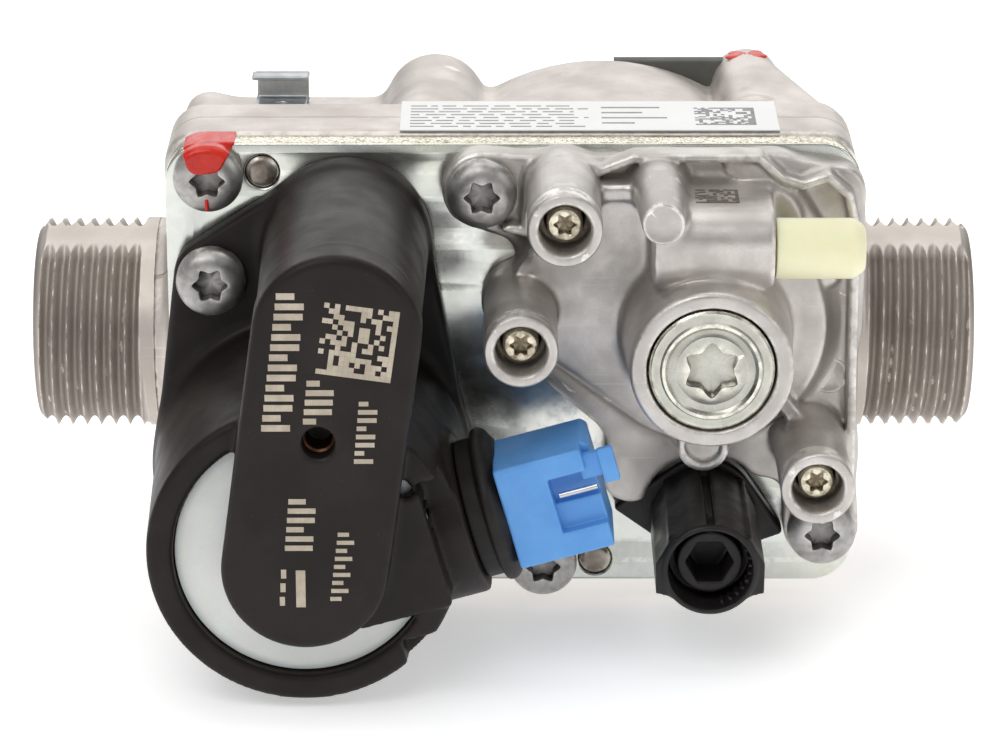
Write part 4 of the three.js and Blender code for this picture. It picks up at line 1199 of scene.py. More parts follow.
@dataclass
class RearCover:
    """The round plate over the diaphragm at the back, with its four screws."""

    radius: float = 24.7
    front: float = 16.6
    back: float = 18.6
    screw_ring: float = 22.85

    @classmethod
    def screw_place(cls, index: int) -> Point2:
        """Where a cover screw stands."""
        angle = math.radians(45 + 90 * index)
        return OUTLET[0] + cls.screw_ring * math.cos(angle), OUTLET[1] + cls.screw_ring * math.sin(angle)

    def plate(self) -> Shell:
        """A turned dish: flat rim, a pressed step, a shallow ring bead and a breather dimple.

        Returns:
            The surface.
        """
        b = self.back
        profile = [(0.0, self.front), (self.radius, self.front), (self.radius, b), (19.6, b), (17.6, b - 0.9),
                   (12.0, b - 0.9), (11.2, b - 0.35), (9.8, b - 0.35), (9.0, b - 0.9), (2.2, b - 0.9),
                   (1.4, b - 0.5), (0.0, b - 0.5)]
        return turned(rounded(profile, 0.5), OUTLET, segments=128)

    def screw(self, centre: Point2) -> Shell:
        """A small pan-head screw with a six-lobed recess.

        Args:
            centre: Where its axis stands, in X and Z.

        Returns:
            The surface.
        """
        b = self.back
        profile = [(0.0, 11.2), (1.2, 11.2), (1.2, b), (2.0, b), (1.95, b + 0.7), (1.5, b + 1.15), (1.1, b + 1.2),
                   (0.95, b + 1.1), (0.9, b + 0.3), (0.0, b + 0.2)]
        return turned(profile, centre, segments=48, lobed_from=7)

    def build(self) -> None:
        """Makes the plate and its screws."""
        make_piece("cover_plate", self.plate(), Finishes.zinc, Dress("zinc_plate", replaces=("rear_cover",)))
        for i in range(4):
            dress = Dress("screw_steel", replaces=(f"cover_screw_{i + 1}",))
            make_piece(f"cover_plate_screw_{i + 1}", self.screw(self.screw_place(i)), Finishes.screw, dress)


@dataclass
class FrontSheets:
    """Gasket and zinc yoke plate between the casting and what is bolted to it."""

    plate_front: float = -20.0
    plate_back: float = -16.5
    edge: float = 0.28

    def build(self) -> None:
        """Makes both sheets with their holes."""
        outline = rectangle(-40.9, -27.2, 43.2, 29.6, 5.0)
        bolts = [(*place, 2.3) for place, _ in SCREWS.values()] + [(*place, 2.08) for place in PINS.values()]
        gas = [(*MAIN, 7.3), (*PILOT, 4.8), (*PILOT_PORT, 1.2), (*SERVO, 2.0), (*THROTTLE, 5.2)]
        gasket = Dress("rubber", replaces=("body_gasket",))
        inset = rectangle(-40.6, -26.9, 42.9, 29.3, 4.8)
        sheet_piece("gasket_sheet", inset, bolts + gas, self.plate_back, -16.0, 0.05, Finishes.seal, gasket)
        plate = Dress("zinc_plate", replaces=("yoke_plate",))
        sheet_piece(
            "yoke_sheet", outline, bolts + gas, self.plate_front, self.plate_back, self.edge, Finishes.zinc, plate
        )


@dataclass
class Fasteners:
    """Six-lobed screws and dowel pins at the front."""

    head: float = 4.2
    height: float = 2.8
    shank: float = 2.0
    tip: float = -10.0
    pin_front: float = -20.3

    def screw(self, centre: Point2, seat: float) -> Shell:
        """A domed head with a deep six-lobed recess, turned as one profile with its shank.

        Args:
            centre: Where its axis stands, in X and Z.
            seat: Y of the face that it stands on.

        Returns:
            The surface.
        """
        top = seat - self.height
        profile = [(0.0, self.tip), (1.4, self.tip), (self.shank, self.tip - 0.6), (self.shank, seat),
                   (self.head - 0.1, seat), (self.head, seat - 0.15), (self.head, seat - 1.3),
                   (self.head - 0.12, seat - 1.75), (3.85, top + 0.72), (3.4, top + 0.34), (2.9, top + 0.12),
                   (2.42, top), (2.2, top + 0.02), (2.1, top + 0.14), (2.06, top + 0.5), (2.0, top + 1.75),
                   (1.1, top + 1.95), (0.0, top + 2.0)]
        return turned(profile, centre, segments=96, lobed_from=11)

    def pin(self, centre: Point2) -> Shell:
        """A plain dowel with a low dome.

        Args:
            centre: Where its axis stands, in X and Z.

        Returns:
            The surface.
        """
        front = self.pin_front
        profile = [(0.0, self.tip), (1.95, self.tip), (1.95, -19.8), (1.72, -20.08), (1.3, front + 0.06),
                   (0.7, front), (0.0, front)]
        return turned(profile, centre, segments=48)

    def build(self) -> None:
        """Makes every screw and pin."""
        for node, (centre, seat) in SCREWS.items():
            dress = Dress("screw_steel", replaces=(node,), crease=32.0)
            make_piece(node + "_finish", self.screw(centre, seat), Finishes.screw, dress)
        for node, centre in PINS.items():
            dress = Dress("screw_steel", replaces=(node,))
            make_piece(node + "_finish", self.pin(centre), Finishes.pin, dress)


# ------------------------------------------------------------------ coil
@dataclass
class Coil:
    """The black twin coil moulding, its pale spool, and the pale marks on its face."""

    front: float = -52.0
    bar_front: float = -56.92
    plate_front: float = -20.0
    drum_radius: float = 18.3
    drum_draft: float = 1.1
    inner_radius: float = 15.2
    tower_radius: float = 9.5
    bar_radius: float = 9.7
    step: float = 0.42

    def tapered(self, x: Array, y: Array, z: Array, centre: Point2, radius: float, draft: float) -> Array:
        """A drum whose radius grows by draft from the coil's front to the plate."""
        share = (y - self.front) / (self.plate_front - self.front)
        around = disc_field(x, z, centre, 0.0) - radius - draft * share
        return slab(around, y, self.front, self.plate_front, 0.7)

    def body(self) -> Shell:
        """Base, drum, tower, bar, block and round boss blended into one skin, then hollowed.

        Returns:
            The surface.
        """
        lattice = Lattice((-43.6, -57.9, -31.0), (1.4, -19.0, 28.6), self.step)
        x, y, z = lattice.axes()
        cos, sin = math.cos(CONNECTOR_TILT), math.sin(CONNECTOR_TILT)
        dx, dz = x - CONNECTOR_CENTRE[0], z - CONNECTOR_CENTRE[2]
        u, v, w = dx * cos + dz * sin, dz * cos - dx * sin, y - CONNECTOR_CENTRE[1]
        base_outline = belt([(*MAIN, 19.4), (*PILOT, 10.0), (-35.3, 13.6, 4.6)])
        base = slab(outline_field(x, z, base_outline), y, -23.5, self.plate_front, 0.7)
        drum = self.tapered(x, y, z, MAIN, self.drum_radius, self.drum_draft)
        tower = self.tapered(x, y, z, PILOT, self.tower_radius, 0.5)
        bar_outline = outline_field(x, z, belt([(*PILOT, self.bar_radius), (-23.0, -10.9, self.bar_radius)]))
        bar = slab(bar_outline, y, self.bar_front, self.front + 1.0, 0.9)
        bar_root = slab(bar_outline + 1.4, y, self.front, self.front + 4.0, 0.4)
        arm = block(u, w, v, (-20.0, -8.0, -9.25), (-6.4, 9.0, 9.25), 1.2)
        across = np.hypot(w, v)
        boss = slab(across - 9.9, u, -12.0, -0.3, 0.6)
        drum = np.maximum(drum, -block(u, w, v, (-11.3, -40.0, -40.0), (20.0, -9.4, -9.0)))
        drum = np.maximum(drum, -block(u, w, v, (-4.3, -40.0, -9.4), (20.0, -8.6, 9.6)))
        whole = merged(base, drum, tower, arm, blend=1.6)
        whole = merged(whole, boss, blend=0.5)
        inner = slab(disc_field(x, z, MAIN, self.inner_radius), y, self.front - 1.0, -18.0)
        gusset = block(u, w, v, (-15.6, -13.6, -6.0), (-4.1, -5.0, 8.6), 0.4)
        whole = carved(whole, inner, blend=0.6)
        room = slab(disc_field(x, z, MAIN, 15.1), y, -50.9, 0.0)
        whole = merged(whole, np.maximum(bar_root, -room), blend=0.4)
        gusset = np.maximum(gusset, -slab(disc_field(x, z, MAIN, 14.9), y, -50.6, 0.0))
        whole = merged(merged(whole, gusset, blend=0.4), bar, blend=0.7)
        whole = np.maximum(whole, -30.25 - z)
        tools = [
            slab(disc_field(x, z, PILOT, 7.5), y, -48.0, -18.0),
            slab(disc_field(x, z, (-35.3, 13.6), 2.3), y, -25.0, -18.0),
            slab(disc_field(x, z, (-21.2, 5.0), 1.9), y, -60.0, -51.4),
        ]
        return lattice.skin(carved(whole, *tools, blend=0.35))

    def disc(self) -> Shell:
        """The spool's two flanges and tube, turned, with a faintly raised rim.

        Returns:
            The surface.
        """
        back = -20.3
        profile = [(7.3, -50.4), (13.0, -50.4), (14.1, -50.5), (15.05, -50.4), (15.05, -49.35), (8.6, -49.3),
                   (8.5, -21.6), (14.8, -21.5), (14.9, back), (7.3, back)]
        return turned(rounded([*profile, profile[0]], 0.15, 2)[:-1], MAIN, segments=120, closed=True)

    def liner(self) -> Shell:
        """A thin lip inside the small hole in the bar."""
        profile = [(1.86, -54.6), (1.86, -51.6), (1.5, -51.6), (1.6, -54.4)]
        return turned(profile, (-21.2, 5.0), segments=48, closed=True)

    def marks(self) -> Shell:
        """Generic pale bars and a made-up code square, 0.06 mm proud of the bar's face.

        Returns:
            The surface.
        """
        tilt = math.radians(-8.0)
        low, high = code_square(11, 14, 8.6, 0.06)
        y = self.bar_front
        turned_square = slabs(low, high)
        x, z = turned_square.points[:, 0].copy(), turned_square.points[:, 2].copy()
        turned_square.points[:, 0] = -21.4 + x * math.cos(tilt) - z * math.sin(tilt)
        turned_square.points[:, 2] = 13.6 + x * math.sin(tilt) + z * math.cos(tilt)
        turned_square.points[:, 1] += y
        rows = [(-25.7 - 0.15 * i, 22.4 - 1.22 * i, 3.3 if i % 3 else 2.1, 0.78) for i in range(14)]
        rows += [(-22.4 - 0.12 * i, 12.0 - 1.15 * i, 3.2 if i % 4 else 1.5, 0.7) for i in range(5)]
        rows += [(-16.5 - 0.09 * i, 9.6 - 1.0 * i, 2.2 if i % 3 else 1.1, 0.55) for i in range(8)]
        rows += [(-24.7 - 0.1 * i, -2.4 - 1.15 * i, 3.2 if i % 3 else 2.0, 0.65) for i in range(6)]
        rows += [(-19.1 - 0.12 * i, -6.4 - 1.0 * i, 2.0 if i % 2 else 1.3, 0.5) for i in range(9)]
        rows += [(-24.0, -15.2, 1.1, 4.6), (-25.7, -11.6, 0.6, 1.1), (-25.8, -13.3, 0.6, 1.1),
                 (-25.9, -15.0, 0.6, 1.1)]
        return slabs(*bars(rows, y, 0.06)).joined(turned_square)

    def build(self) -> None:
        """Makes the moulding, the spool and the marks."""
        dress = Dress("coil_plastic", replaces=("coil_housing",), crease=60.0)
        make_piece("coil_moulding_skin", self.body(), Finishes.coil, dress)
        spool = Dress("bobbin_plastic", replaces=("main_bobbin",), crease=30.0)
        make_piece("spool_disc", self.disc(), Finishes.bobbin, spool)
        make_piece("bar_hole_lip", self.liner(), Finishes.copper, Dress("copper"))
        make_piece("coil_marks", self.marks(), Finishes.marking, Dress("coil_plastic"))


# ------------------------------------------------------------------ connector
@dataclass
class Connector:
    """The rubber collar and the blue plug at the coil's right, on the tilted connector axis."""

    plug_start: float = 4.2
    plug_end: float = 15.7
    plug_front: float = -7.9
    plug_back: float = 2.7
    plug_low: float = -6.0
    plug_high: float = 6.8
    step: float = 0.17

    def collar(self) -> Shell:
        """A turned collar: a plain neck, a fat round rim, and a cone that narrows to the plug.

        Returns:
            The surface.
        """
        profile = [(2.0, -0.2), (8.35, -0.2), (8.35, 1.85), (9.0, 1.95), (9.3, 2.3), (9.3, 3.0),
                   (8.9, 3.55), (7.9, 4.1), (7.3, 4.5), (6.6, 4.5), (5.0, 4.2), (2.0, 4.1)]
        shape = rounded([*profile, profile[0]], 0.35, 3)[:-1]
        return turned(shape, (0.0, 0.0), Axis.CONNECTOR, 128, closed=True)

    def plug(self) -> Shell:
        """A box with a bevelled top front edge, an open corner at its lower right, and a latch tab beside it.

        Returns:
            The surface.
        """
        lattice = Lattice((3.4, -9.2, -6.7), (19.4, 3.4, 7.5), self.step)
        u, w, v = lattice.axes()
        end, front = self.plug_end, self.plug_front
        low, high = (self.plug_start, front, self.plug_low), (end, self.plug_back, self.plug_high)
        left, top, bottom = end - 5.5, high[2] - 2.8, low[2] + 3.1
        shell = block(u, w, v, low, high, 0.35)
        window = block(u, w, v, (left, front - 1.0, bottom), (end + 1.0, front + 1.5, top), 0.2)
        upper = block(u, w, v, (end - 0.9, front - 1.0, top - 0.5), (end + 1.0, front + 2.6, high[2] + 1.0))
        deeper = block(u, w, v, (left, front, bottom + 3.3), (end + 1.0, front + 2.7, top), 0.15)
        latch_high = (end + 2.8, front + 1.2, high[2] - 0.7)
        latch = block(u, w, v, (end + 0.9, front + 0.1, top - 2.2), latch_high, 0.2)
        arm_high = (end + 2.2, front + 2.2, high[2] - 1.2)
        arm = block(u, w, v, (end - 1.6, front + 1.0, top - 1.4), arm_high, 0.2)
        shoulder = (u - end) * 0.707 + (v - self.plug_high) * 0.707 + 0.5
        slope = (v - self.plug_high) * 0.5 - (w - front) * 0.866 - 0.1
        ledge = np.maximum(slope, u - self.plug_start - 14.0)
        whole = carved(np.maximum(np.maximum(shell, shoulder), ledge), window, upper, deeper, blend=0.15)
        whole = merged(whole, latch, arm, blend=0.2)
        shell_mm = lattice.skin(whole)
        return Shell(connector_to_world(shell_mm.points), shell_mm.faces)

    def strip(self) -> Shell:
        """The bright sprung wire across the plug's lower front: a thin bar of round section.

        Returns:
            The surface.
        """
        profile = [(0.0, 10.9), (0.34, 11.0), (0.34, 15.6), (0.0, 15.7)]
        bar = turned(profile, (self.plug_front + 0.7, 1.6), Axis.X, 20)
        points = bar.points.copy()
        points[:, 1] = 2.0 * (self.plug_front + 0.7) - points[:, 1]
        return Shell(connector_to_world(points), bar.faces)

    def build(self) -> None:
        """Makes the collar, the plug and its wire."""
        collar = Dress("rubber", replaces=("connector_seal",))
        make_piece("connector_collar", self.collar(), Finishes.seal, collar)
        dress = Dress("plug_plastic", replaces=("connector_plug",), crease=60.0)
        make_piece("plug_shell", self.plug(), Finishes.plug, dress)
        make_piece("plug_wire", self.strip(), Finishes.core, Dress("core_steel"))


# ------------------------------------------------------------------ servo regulator
@dataclass
class ServoRegulator:
    """The regulator's casting, its test nipples, taps, breather, barrel cap and front marks."""

    flange_front: float = -24.0
    cover_front: float = -27.3
    front: float = -42.0
    plate_front: float = -20.0
    barrel: float = 9.6
    nipple: float = 4.4
    nipple_bore: float = 3.1
    arm_low: Point3 = (17.6, -38.5, 16.6)
    arm_high: Point3 = (31.8, -23.0, 26.2)
    step: float = 0.36

    def outside(self, x: Array, y: Array, z: Array) -> Array:
        """Flange, ears, cover, ribs, barrel, arm and column, blended where they meet.

        Args:
            x: X of the points, in millimetres.
            y: Y of the points.
            z: Z of the points.

        Returns:
            The field.
        """
        outlines = [
            [(5.0, 24.2, 4.6), (32.0, 24.8, 4.3), (38.6, 19.0, 4.5), (38.6, -9.0, 4.5), (18.0, -3.0, 6.0),
             (10.0, 4.0, 6.0)],
            [(-2.6, 24.8, 4.8), (7.0, 22.8, 6.0)],
            [(32.0, 24.8, 4.3), (40.0, 24.4, 3.5), (38.6, 8.0, 4.6)],
            [(39.1, -18.6, 4.6), (38.4, -8.0, 4.6)],
            [(2.0, 10.7, 4.6), (10.0, 8.0, 7.0)],
            [(15.6, -11.8, 3.6), (20.0, -1.0, 7.0)],
        ]
        plan = merged(*[outline_field(x, z, belt(o, 48)) for o in outlines], blend=1.6)
        flange = slab(plan, y, self.flange_front, self.plate_front, 0.7)
        cover_outline = belt([(8.6, 19.4, 5.4), (31.0, 21.6, 4.8), (*SERVO, 14.6), (7.6, 8.4, 4.6)], 56)
        cover = slab(outline_field(x, z, cover_outline), y, self.cover_front, self.flange_front + 1.0, 0.9)
        reach = (y - self.front) / (self.flange_front - self.front)
        barrel = slab(disc_field(x, z, SERVO, 0.0) - self.barrel - 0.8 * reach, y, self.front, -23.0, 0.6)
        (x0, y0, z0), (x1, y1, z1) = self.arm_low, self.arm_high
        arm = slab(outline_field(y, z, rectangle(y0, z0, y1, z1, 3.9)), x, x0, x1, 0.4)
        column = disc_field(x, z, (18.5, 26.4), 0.0) - 2.5 - 0.9 * reach
        column = slab(column, y, self.front + 0.3, -23.0, 0.45)
        lug = slab(outline_field(x, z, belt([(24.1, -2.0, 3.2), (24.1, -5.4, 3.2)], 40)), y, -31.0, -23.0, 0.7)
        whole = merged(flange, cover, blend=3.4)
        whole = merged(whole, arm, column, barrel, lug, blend=1.3)
        nipples = [slab(disc_field(x, z, c, self.nipple), y, self.front, -21.0, 0.35) for c in TAPS.values()]
        return merged(whole, *nipples, blend=0.8)

    def ribs(self, x: Array, y: Array, z: Array) -> Array:
        """The wavy raised rim round the flange, and thin webs from the barrel to the nipples.

        Args:
            x: X of the points, in millimetres.
            y: Y of the points.
            z: Z of the points.

        Returns:
            The field.
        """
        top = [(-5.6, 22.2), (2.6, 20.4), (3.2, 27.4), (6.4, 29.4), (11.6, 28.0), (15.6, 29.6), (30.4, 29.6)]
        wave = [(30.4, 29.6), (33.2, 27.0), (35.6, 26.2), (38.6, 27.2), (41.2, 25.0), (42.1, 21.0),
                (42.3, -12.0)]
        rim = slab(path_field(x, z, top + wave[1:], 0.55), y, -26.6, -23.0, 0.4)
        inner = [(28.0, 28.6), (33.4, 25.2), (37.6, 19.0), (38.9, 14.8)]
        bow = slab(path_field(x, z, inner, 1.7), y, -26.0, -23.0, 1.2)
        left = slab(path_field(x, z, [(2.0, 15.4), (4.4, 18.6), (4.4, 21.4)], 0.6), y, -27.0, -23.0, 0.4)
        webs = [slab(path_field(x, z, path, reach), y, front, -23.0, 0.5) for path, reach, front in (
            ([(4.0, 11.0), (15.6, 11.6)], 0.7, -26.4), ([(7.1, 25.6), (18.6, 26.0)], 1.0, -28.4),
            ([(32.6, 1.0), (37.2, -5.0)], 1.0, -29.0))]
        return merged(rim, bow, left, *webs, blend=0.5)

    def body(self) -> Shell:
        """The skin of the casting less its bores, screw rooms and the throttle's cut-out.

        Returns:
            The surface.
        """
        lattice = Lattice((-8.6, -43.0, -24.6), (45.2, -19.0, 31.4), self.step)
        x, y, z = lattice.axes()

        def hole(centre: Point2, radius: float, start: float, end: float) -> Array:
            """A round hole along Y."""
            return slab(disc_field(x, z, centre, radius), y, start, end)

        whole = merged(self.outside(x, y, z), self.ribs(x, y, z), blend=0.7)
        limit = block(x, y, z, (-7.9, self.front, -23.9), (43.9, self.plate_front, 30.4), 0.1)
        whole = np.maximum(whole, limit)
        breather_y, breather_z = BREATHER
        opened, behind = -43.5, -18.0
        tools = [hole(THROTTLE, 7.5, -26.0, behind), hole(SERVO, 13.0, -26.1, behind)]
        tools += [hole(SERVO, 6.6, opened, -24.0), hole(SERVO, 7.65, opened, -39.0)]
        tools += [hole(PILOT_PORT, 1.2, -23.0, behind)]
        for centre in TAPS.values():
            tools += [hole(centre, self.nipple_bore, opened, -37.0), hole(centre, 2.4, opened, -29.0)]
            tools += [hole(centre, 1.0, opened, behind)]
        for node in ("servo_screw_left", "servo_screw_bottom"):
            centre = SCREWS[node][0]
            tools += [hole(centre, 4.7, opened, self.flange_front), hole(centre, 2.3, opened, behind)]
        stub = np.hypot(y - breather_y, z - breather_z)
        tools += [slab(stub - 2.9, x, 27.8, 34.0), slab(stub - 1.0, x, 23.8, 34.0)]
        tools += [block(x, y, z, (23.2, breather_y - 1.0, SERVO[1]), (25.2, breather_y + 1.0, 22.0))]
        tools += [hole((24.1, -5.2), 2.2, -32.0, -30.3)]
        return lattice.skin(carved(whole, *tools, blend=0.3))

    def nipple_ring(self, centre: Point2) -> Shell:
        """The turned mouth of a test nipple: a crisp flat ring with a small inner chamfer.

        Args:
            centre: Where its axis stands, in X and Z.

        Returns:
            The surface.
        """
        f = self.front
        profile = [(4.42, f + 3.0), (4.42, f + 0.3), (4.2, f), (3.5, f), (3.05, f + 0.35), (3.05, f + 3.0)]
        return turned(rounded([*profile, profile[0]], 0.12, 2)[:-1], centre, segments=80, closed=True)

    def tap(self, centre: Point2) -> Shell:
        """A tap screw with a chamfered rim and a small six-lobed recess.

        Args:
            centre: Where its axis stands, in X and Z.

        Returns:
            The surface.
        """
        top = -39.6
        profile = [(0.0, -31.0), (2.1, -31.0), (2.1, top + 0.45), (1.85, top + 0.1), (1.5, top),
                   (1.36, top + 0.1), (1.3, top + 0.4), (1.25, top + 1.1), (0.0, top + 1.2)]
        return turned(profile, centre, segments=72, lobed_from=5, lobes=Lobes(6, 0.3))

    def breather(self) -> Shell:
        """A pale plug along X: stub, shoulder, two faint rings and a chamfered end with a vent.

        Returns:
            The surface.
        """
        profile = [(1.2, 28.3), (2.6, 28.3), (2.6, 31.95), (3.55, 32.0), (3.6, 32.3), (3.6, 40.9), (3.5, 41.3),
                   (2.9, 42.25), (2.5, 42.55), (1.5, 42.55), (1.2, 42.2)]
        return turned(rounded([*profile, profile[0]], 0.2, 2)[:-1], BREATHER, Axis.X, 96, closed=True)

    def cap(self) -> Shell:
        """The barrel's cap: a bevelled flange, a polished ridge and a face with a six-lobed recess.

        Returns:
            The surface.
        """
        f = -42.3
        profile = [(0.0, -39.35), (6.3, -39.35), (6.3, -40.95), (7.3, -41.0), (7.42, -41.2), (7.36, -41.7),
                   (7.1, -41.95), (6.1, -42.0), (5.86, f), (5.5, f), (5.25, f + 0.3), (5.1, f + 0.42),
                   (4.3, f + 0.42), (4.2, f + 0.36), (4.1, f + 0.42), (3.46, f + 0.44), (3.34, f + 0.6),
                   (3.26, f + 1.9), (1.6, f + 2.0), (0.0, f + 2.05)]
        return turned(profile, SERVO, segments=168, lobed_from=15, lobes=Lobes(6, 0.26, 30.0))

    def ring(self) -> Shell:
        """The dark ring between the cap and the barrel's counterbore."""
        profile = [(6.5, -40.7), (7.3, -40.7), (7.3, -39.35), (6.5, -39.35)]
        return turned(rounded([*profile, profile[0]], 0.2, 2)[:-1], SERVO, segments=96, closed=True)

    def discs(self) -> Shell:
        """Small turned ejector discs, each with a thin raised rim, on the flange and the column.

        Returns:
            The surface.
        """
        places = [((18.5, 26.4), 2.45, -42.0), ((9.0, 1.2), 2.1, -24.2), ((40.2, 10.4), 1.9, -24.2),
                  ((39.6, 1.4), 2.3, -24.2)]
        made = []
        for centre, radius, front in places:
            profile = [(0.0, front + 1.4), (radius, front + 1.4), (radius, front + 0.1), (radius - 0.12, front),
                       (radius - 0.35, front), (radius - 0.5, front + 0.1), (0.4, front + 0.1), (0.0, front + 0.1)]
            made.append(turned(profile, centre, segments=56))
        return made[0].joined(*made[1:])

    def arm_marks(self) -> Shell:
        """A made-up code square on the arm's top, 0.05 mm proud.

        Returns:
            The surface.
        """
        low, high = code_square(29, 12, 5.2, 0.05)
        square = slabs(low, high)
        x, y, z = square.points.T.copy()
        square.points = np.stack([22.6 + x, -30.4 + z - 2.6, 26.2 - y], axis=1)
        return square

    def build(self) -> None:
        """Makes the casting and everything set into it."""
        dress = Dress("cast_aluminium", replaces=("servo_housing",), crease=60.0)
        make_piece("servo_casting", self.body(), Finishes.servo, dress)
        for body, centre in TAPS.items():
            make_piece(body + "_ring", self.nipple_ring(centre), Finishes.servo, Dress("cast_aluminium"))
            dress = Dress("brass", body=body, replaces=(body + "_screw",), crease=32.0)
            make_piece(body + "_pin", self.tap(centre), Finishes.brass, dress)
        make_piece("breather_plug", self.breather(), Finishes.nylon, Dress("nylon", replaces=("breather",)))
        cap = Dress("zinc_plate", body="cap", replaces=("servo_cap",), crease=32.0)
        make_piece("barrel_cap", self.cap(), Finishes.cap, cap)
        ring = Dress("rubber", body="cap_carrier", replaces=("cap_ring",))
        make_piece("barrel_ring", self.ring(), Finishes.seal, ring)
        make_piece("casting_discs", self.discs(), Finishes.servo, Dress("cast_aluminium"))
        make_piece("arm_code", self.arm_marks(), Finishes.engraved, Dress("cast_aluminium"))


# ------------------------------------------------------------------ throttle
@dataclass
class Throttle:
    """The black throttle: a winged base on the plate, and the ribbed knob with its hexagon."""

    front: float = -43.0
    back: float = -23.3
    radius: float = 5.75
    hub: float = 3.9
    recess: float = 2.7
    step: float = 0.2

    def base(self) -> Shell:
        """A belt round two pointed wings and the hub, with a spigot through the plate.

        Returns:
            The surface.
        """
        lattice = Lattice((13.0, -24.0, -24.4), (35.4, -15.4, -8.6), 0.26)
        x, y, z = lattice.axes()
        cx, cz = THROTTLE
        outline = belt([(cx - 10.3, cz + 0.1, 0.6), (cx + 9.2, cz - 3.0, 0.6), (cx, cz, 6.6)])
        base = slab(outline_field(x, z, outline), y, -23.0, -20.0, 0.5)
        spigot = slab(disc_field(x, z, THROTTLE, 4.9), y, -21.0, -16.6, 0.1)
        bore = slab(disc_field(x, z, THROTTLE, 2.6), y, -25.0, -15.0)
        return lattice.skin(carved(merged(base, spigot, blend=0.2), bore))

    def knob(self) -> Shell:
        """Barrel, flat wings, ribs, ring recess, hexagon, top slot and inner teeth.

        Returns:
            The surface.
        """
        lattice = Lattice((17.2, -43.8, -23.2), (32.0, -22.6, -9.9), self.step)
        x, y, z = lattice.axes()
        cx, cz = THROTTLE
        dx, dz = x - cx, z - cz
        around = np.hypot(dx, dz)
        barrel = slab(around - self.radius, y, self.front, self.back, 0.5)
        side = [(6.45, -3.1), (6.5, 0.6), (4.6, 3.9), (-4.6, 3.9), (-6.5, 0.6), (-6.45, -3.1), (-4.6, -3.6),
                (4.6, -3.6)]
        wings = slab(outline_field(dx, dz, np.array(side)), y, self.front + 0.5, self.back + 2.0, 0.15)
        foot, starts, ends = 3.1, self.front + 1.2, self.back + 1.0
        ribs = [block(dx, y, dz, (at - 0.4, starts, foot), (at + 0.4, ends, foot + 0.9), 0.25)
                for at in (-4.6, 4.6)]
        whole = merged(barrel, wings, blend=0.5)
        whole = merged(whole, *ribs, blend=0.3)
        bounds = block(x, y, z, (18.0, self.front, -22.2), (31.2, self.back, -10.8))
        whole = np.maximum(whole, bounds)
        cup = slab(around - 5.0, y, self.front - 1.0, self.front + self.recess)
        moat = np.maximum(around - 5.0, self.hub - around)
        trough = slab(moat, y, self.front - 1.0, self.front + 2.0 * self.recess)
        hexagon = np.maximum(np.abs(dz), 0.866 * np.abs(dx) + 0.5 * np.abs(dz)) - 2.5
        hexagon = slab(hexagon, y, self.front - 1.0, self.front + 8.0)
        slot_high = (cx + 0.45, self.back - 1.6, cz + 7.0)
        slot = block(x, y, z, (cx - 0.45, self.front + 0.8, cz + 5.1), slot_high, 0.1)
        shaft = slab(around - 2.5, y, self.front + 9.0, self.back + 1.0)
        whole = carved(whole, cup, trough, hexagon, slot, shaft, blend=0.2)
        angle = np.arctan2(dz, dx)
        ring_of_teeth = np.maximum(np.abs(around - 4.9) - 0.3, 0.2 - np.cos(30.0 * angle))
        teeth = np.maximum(slab(ring_of_teeth, y, self.front + 1.6, self.front + 3.4), -dx + 1.0)
        return lattice.skin(merged(whole, teeth, blend=0.15))

    def build(self) -> None:
        """Makes the base and the knob."""
        dress = Dress("throttle_plastic", replaces=("throttle_base",), crease=60.0)
        make_piece("throttle_base_skin", self.base(), Finishes.knob, dress)
        turning = Dress("throttle_plastic", "throttle_knob_body", ("throttle_knob",), crease=60.0)
        make_piece("throttle_knob_skin", self.knob(), Finishes.knob, turning)


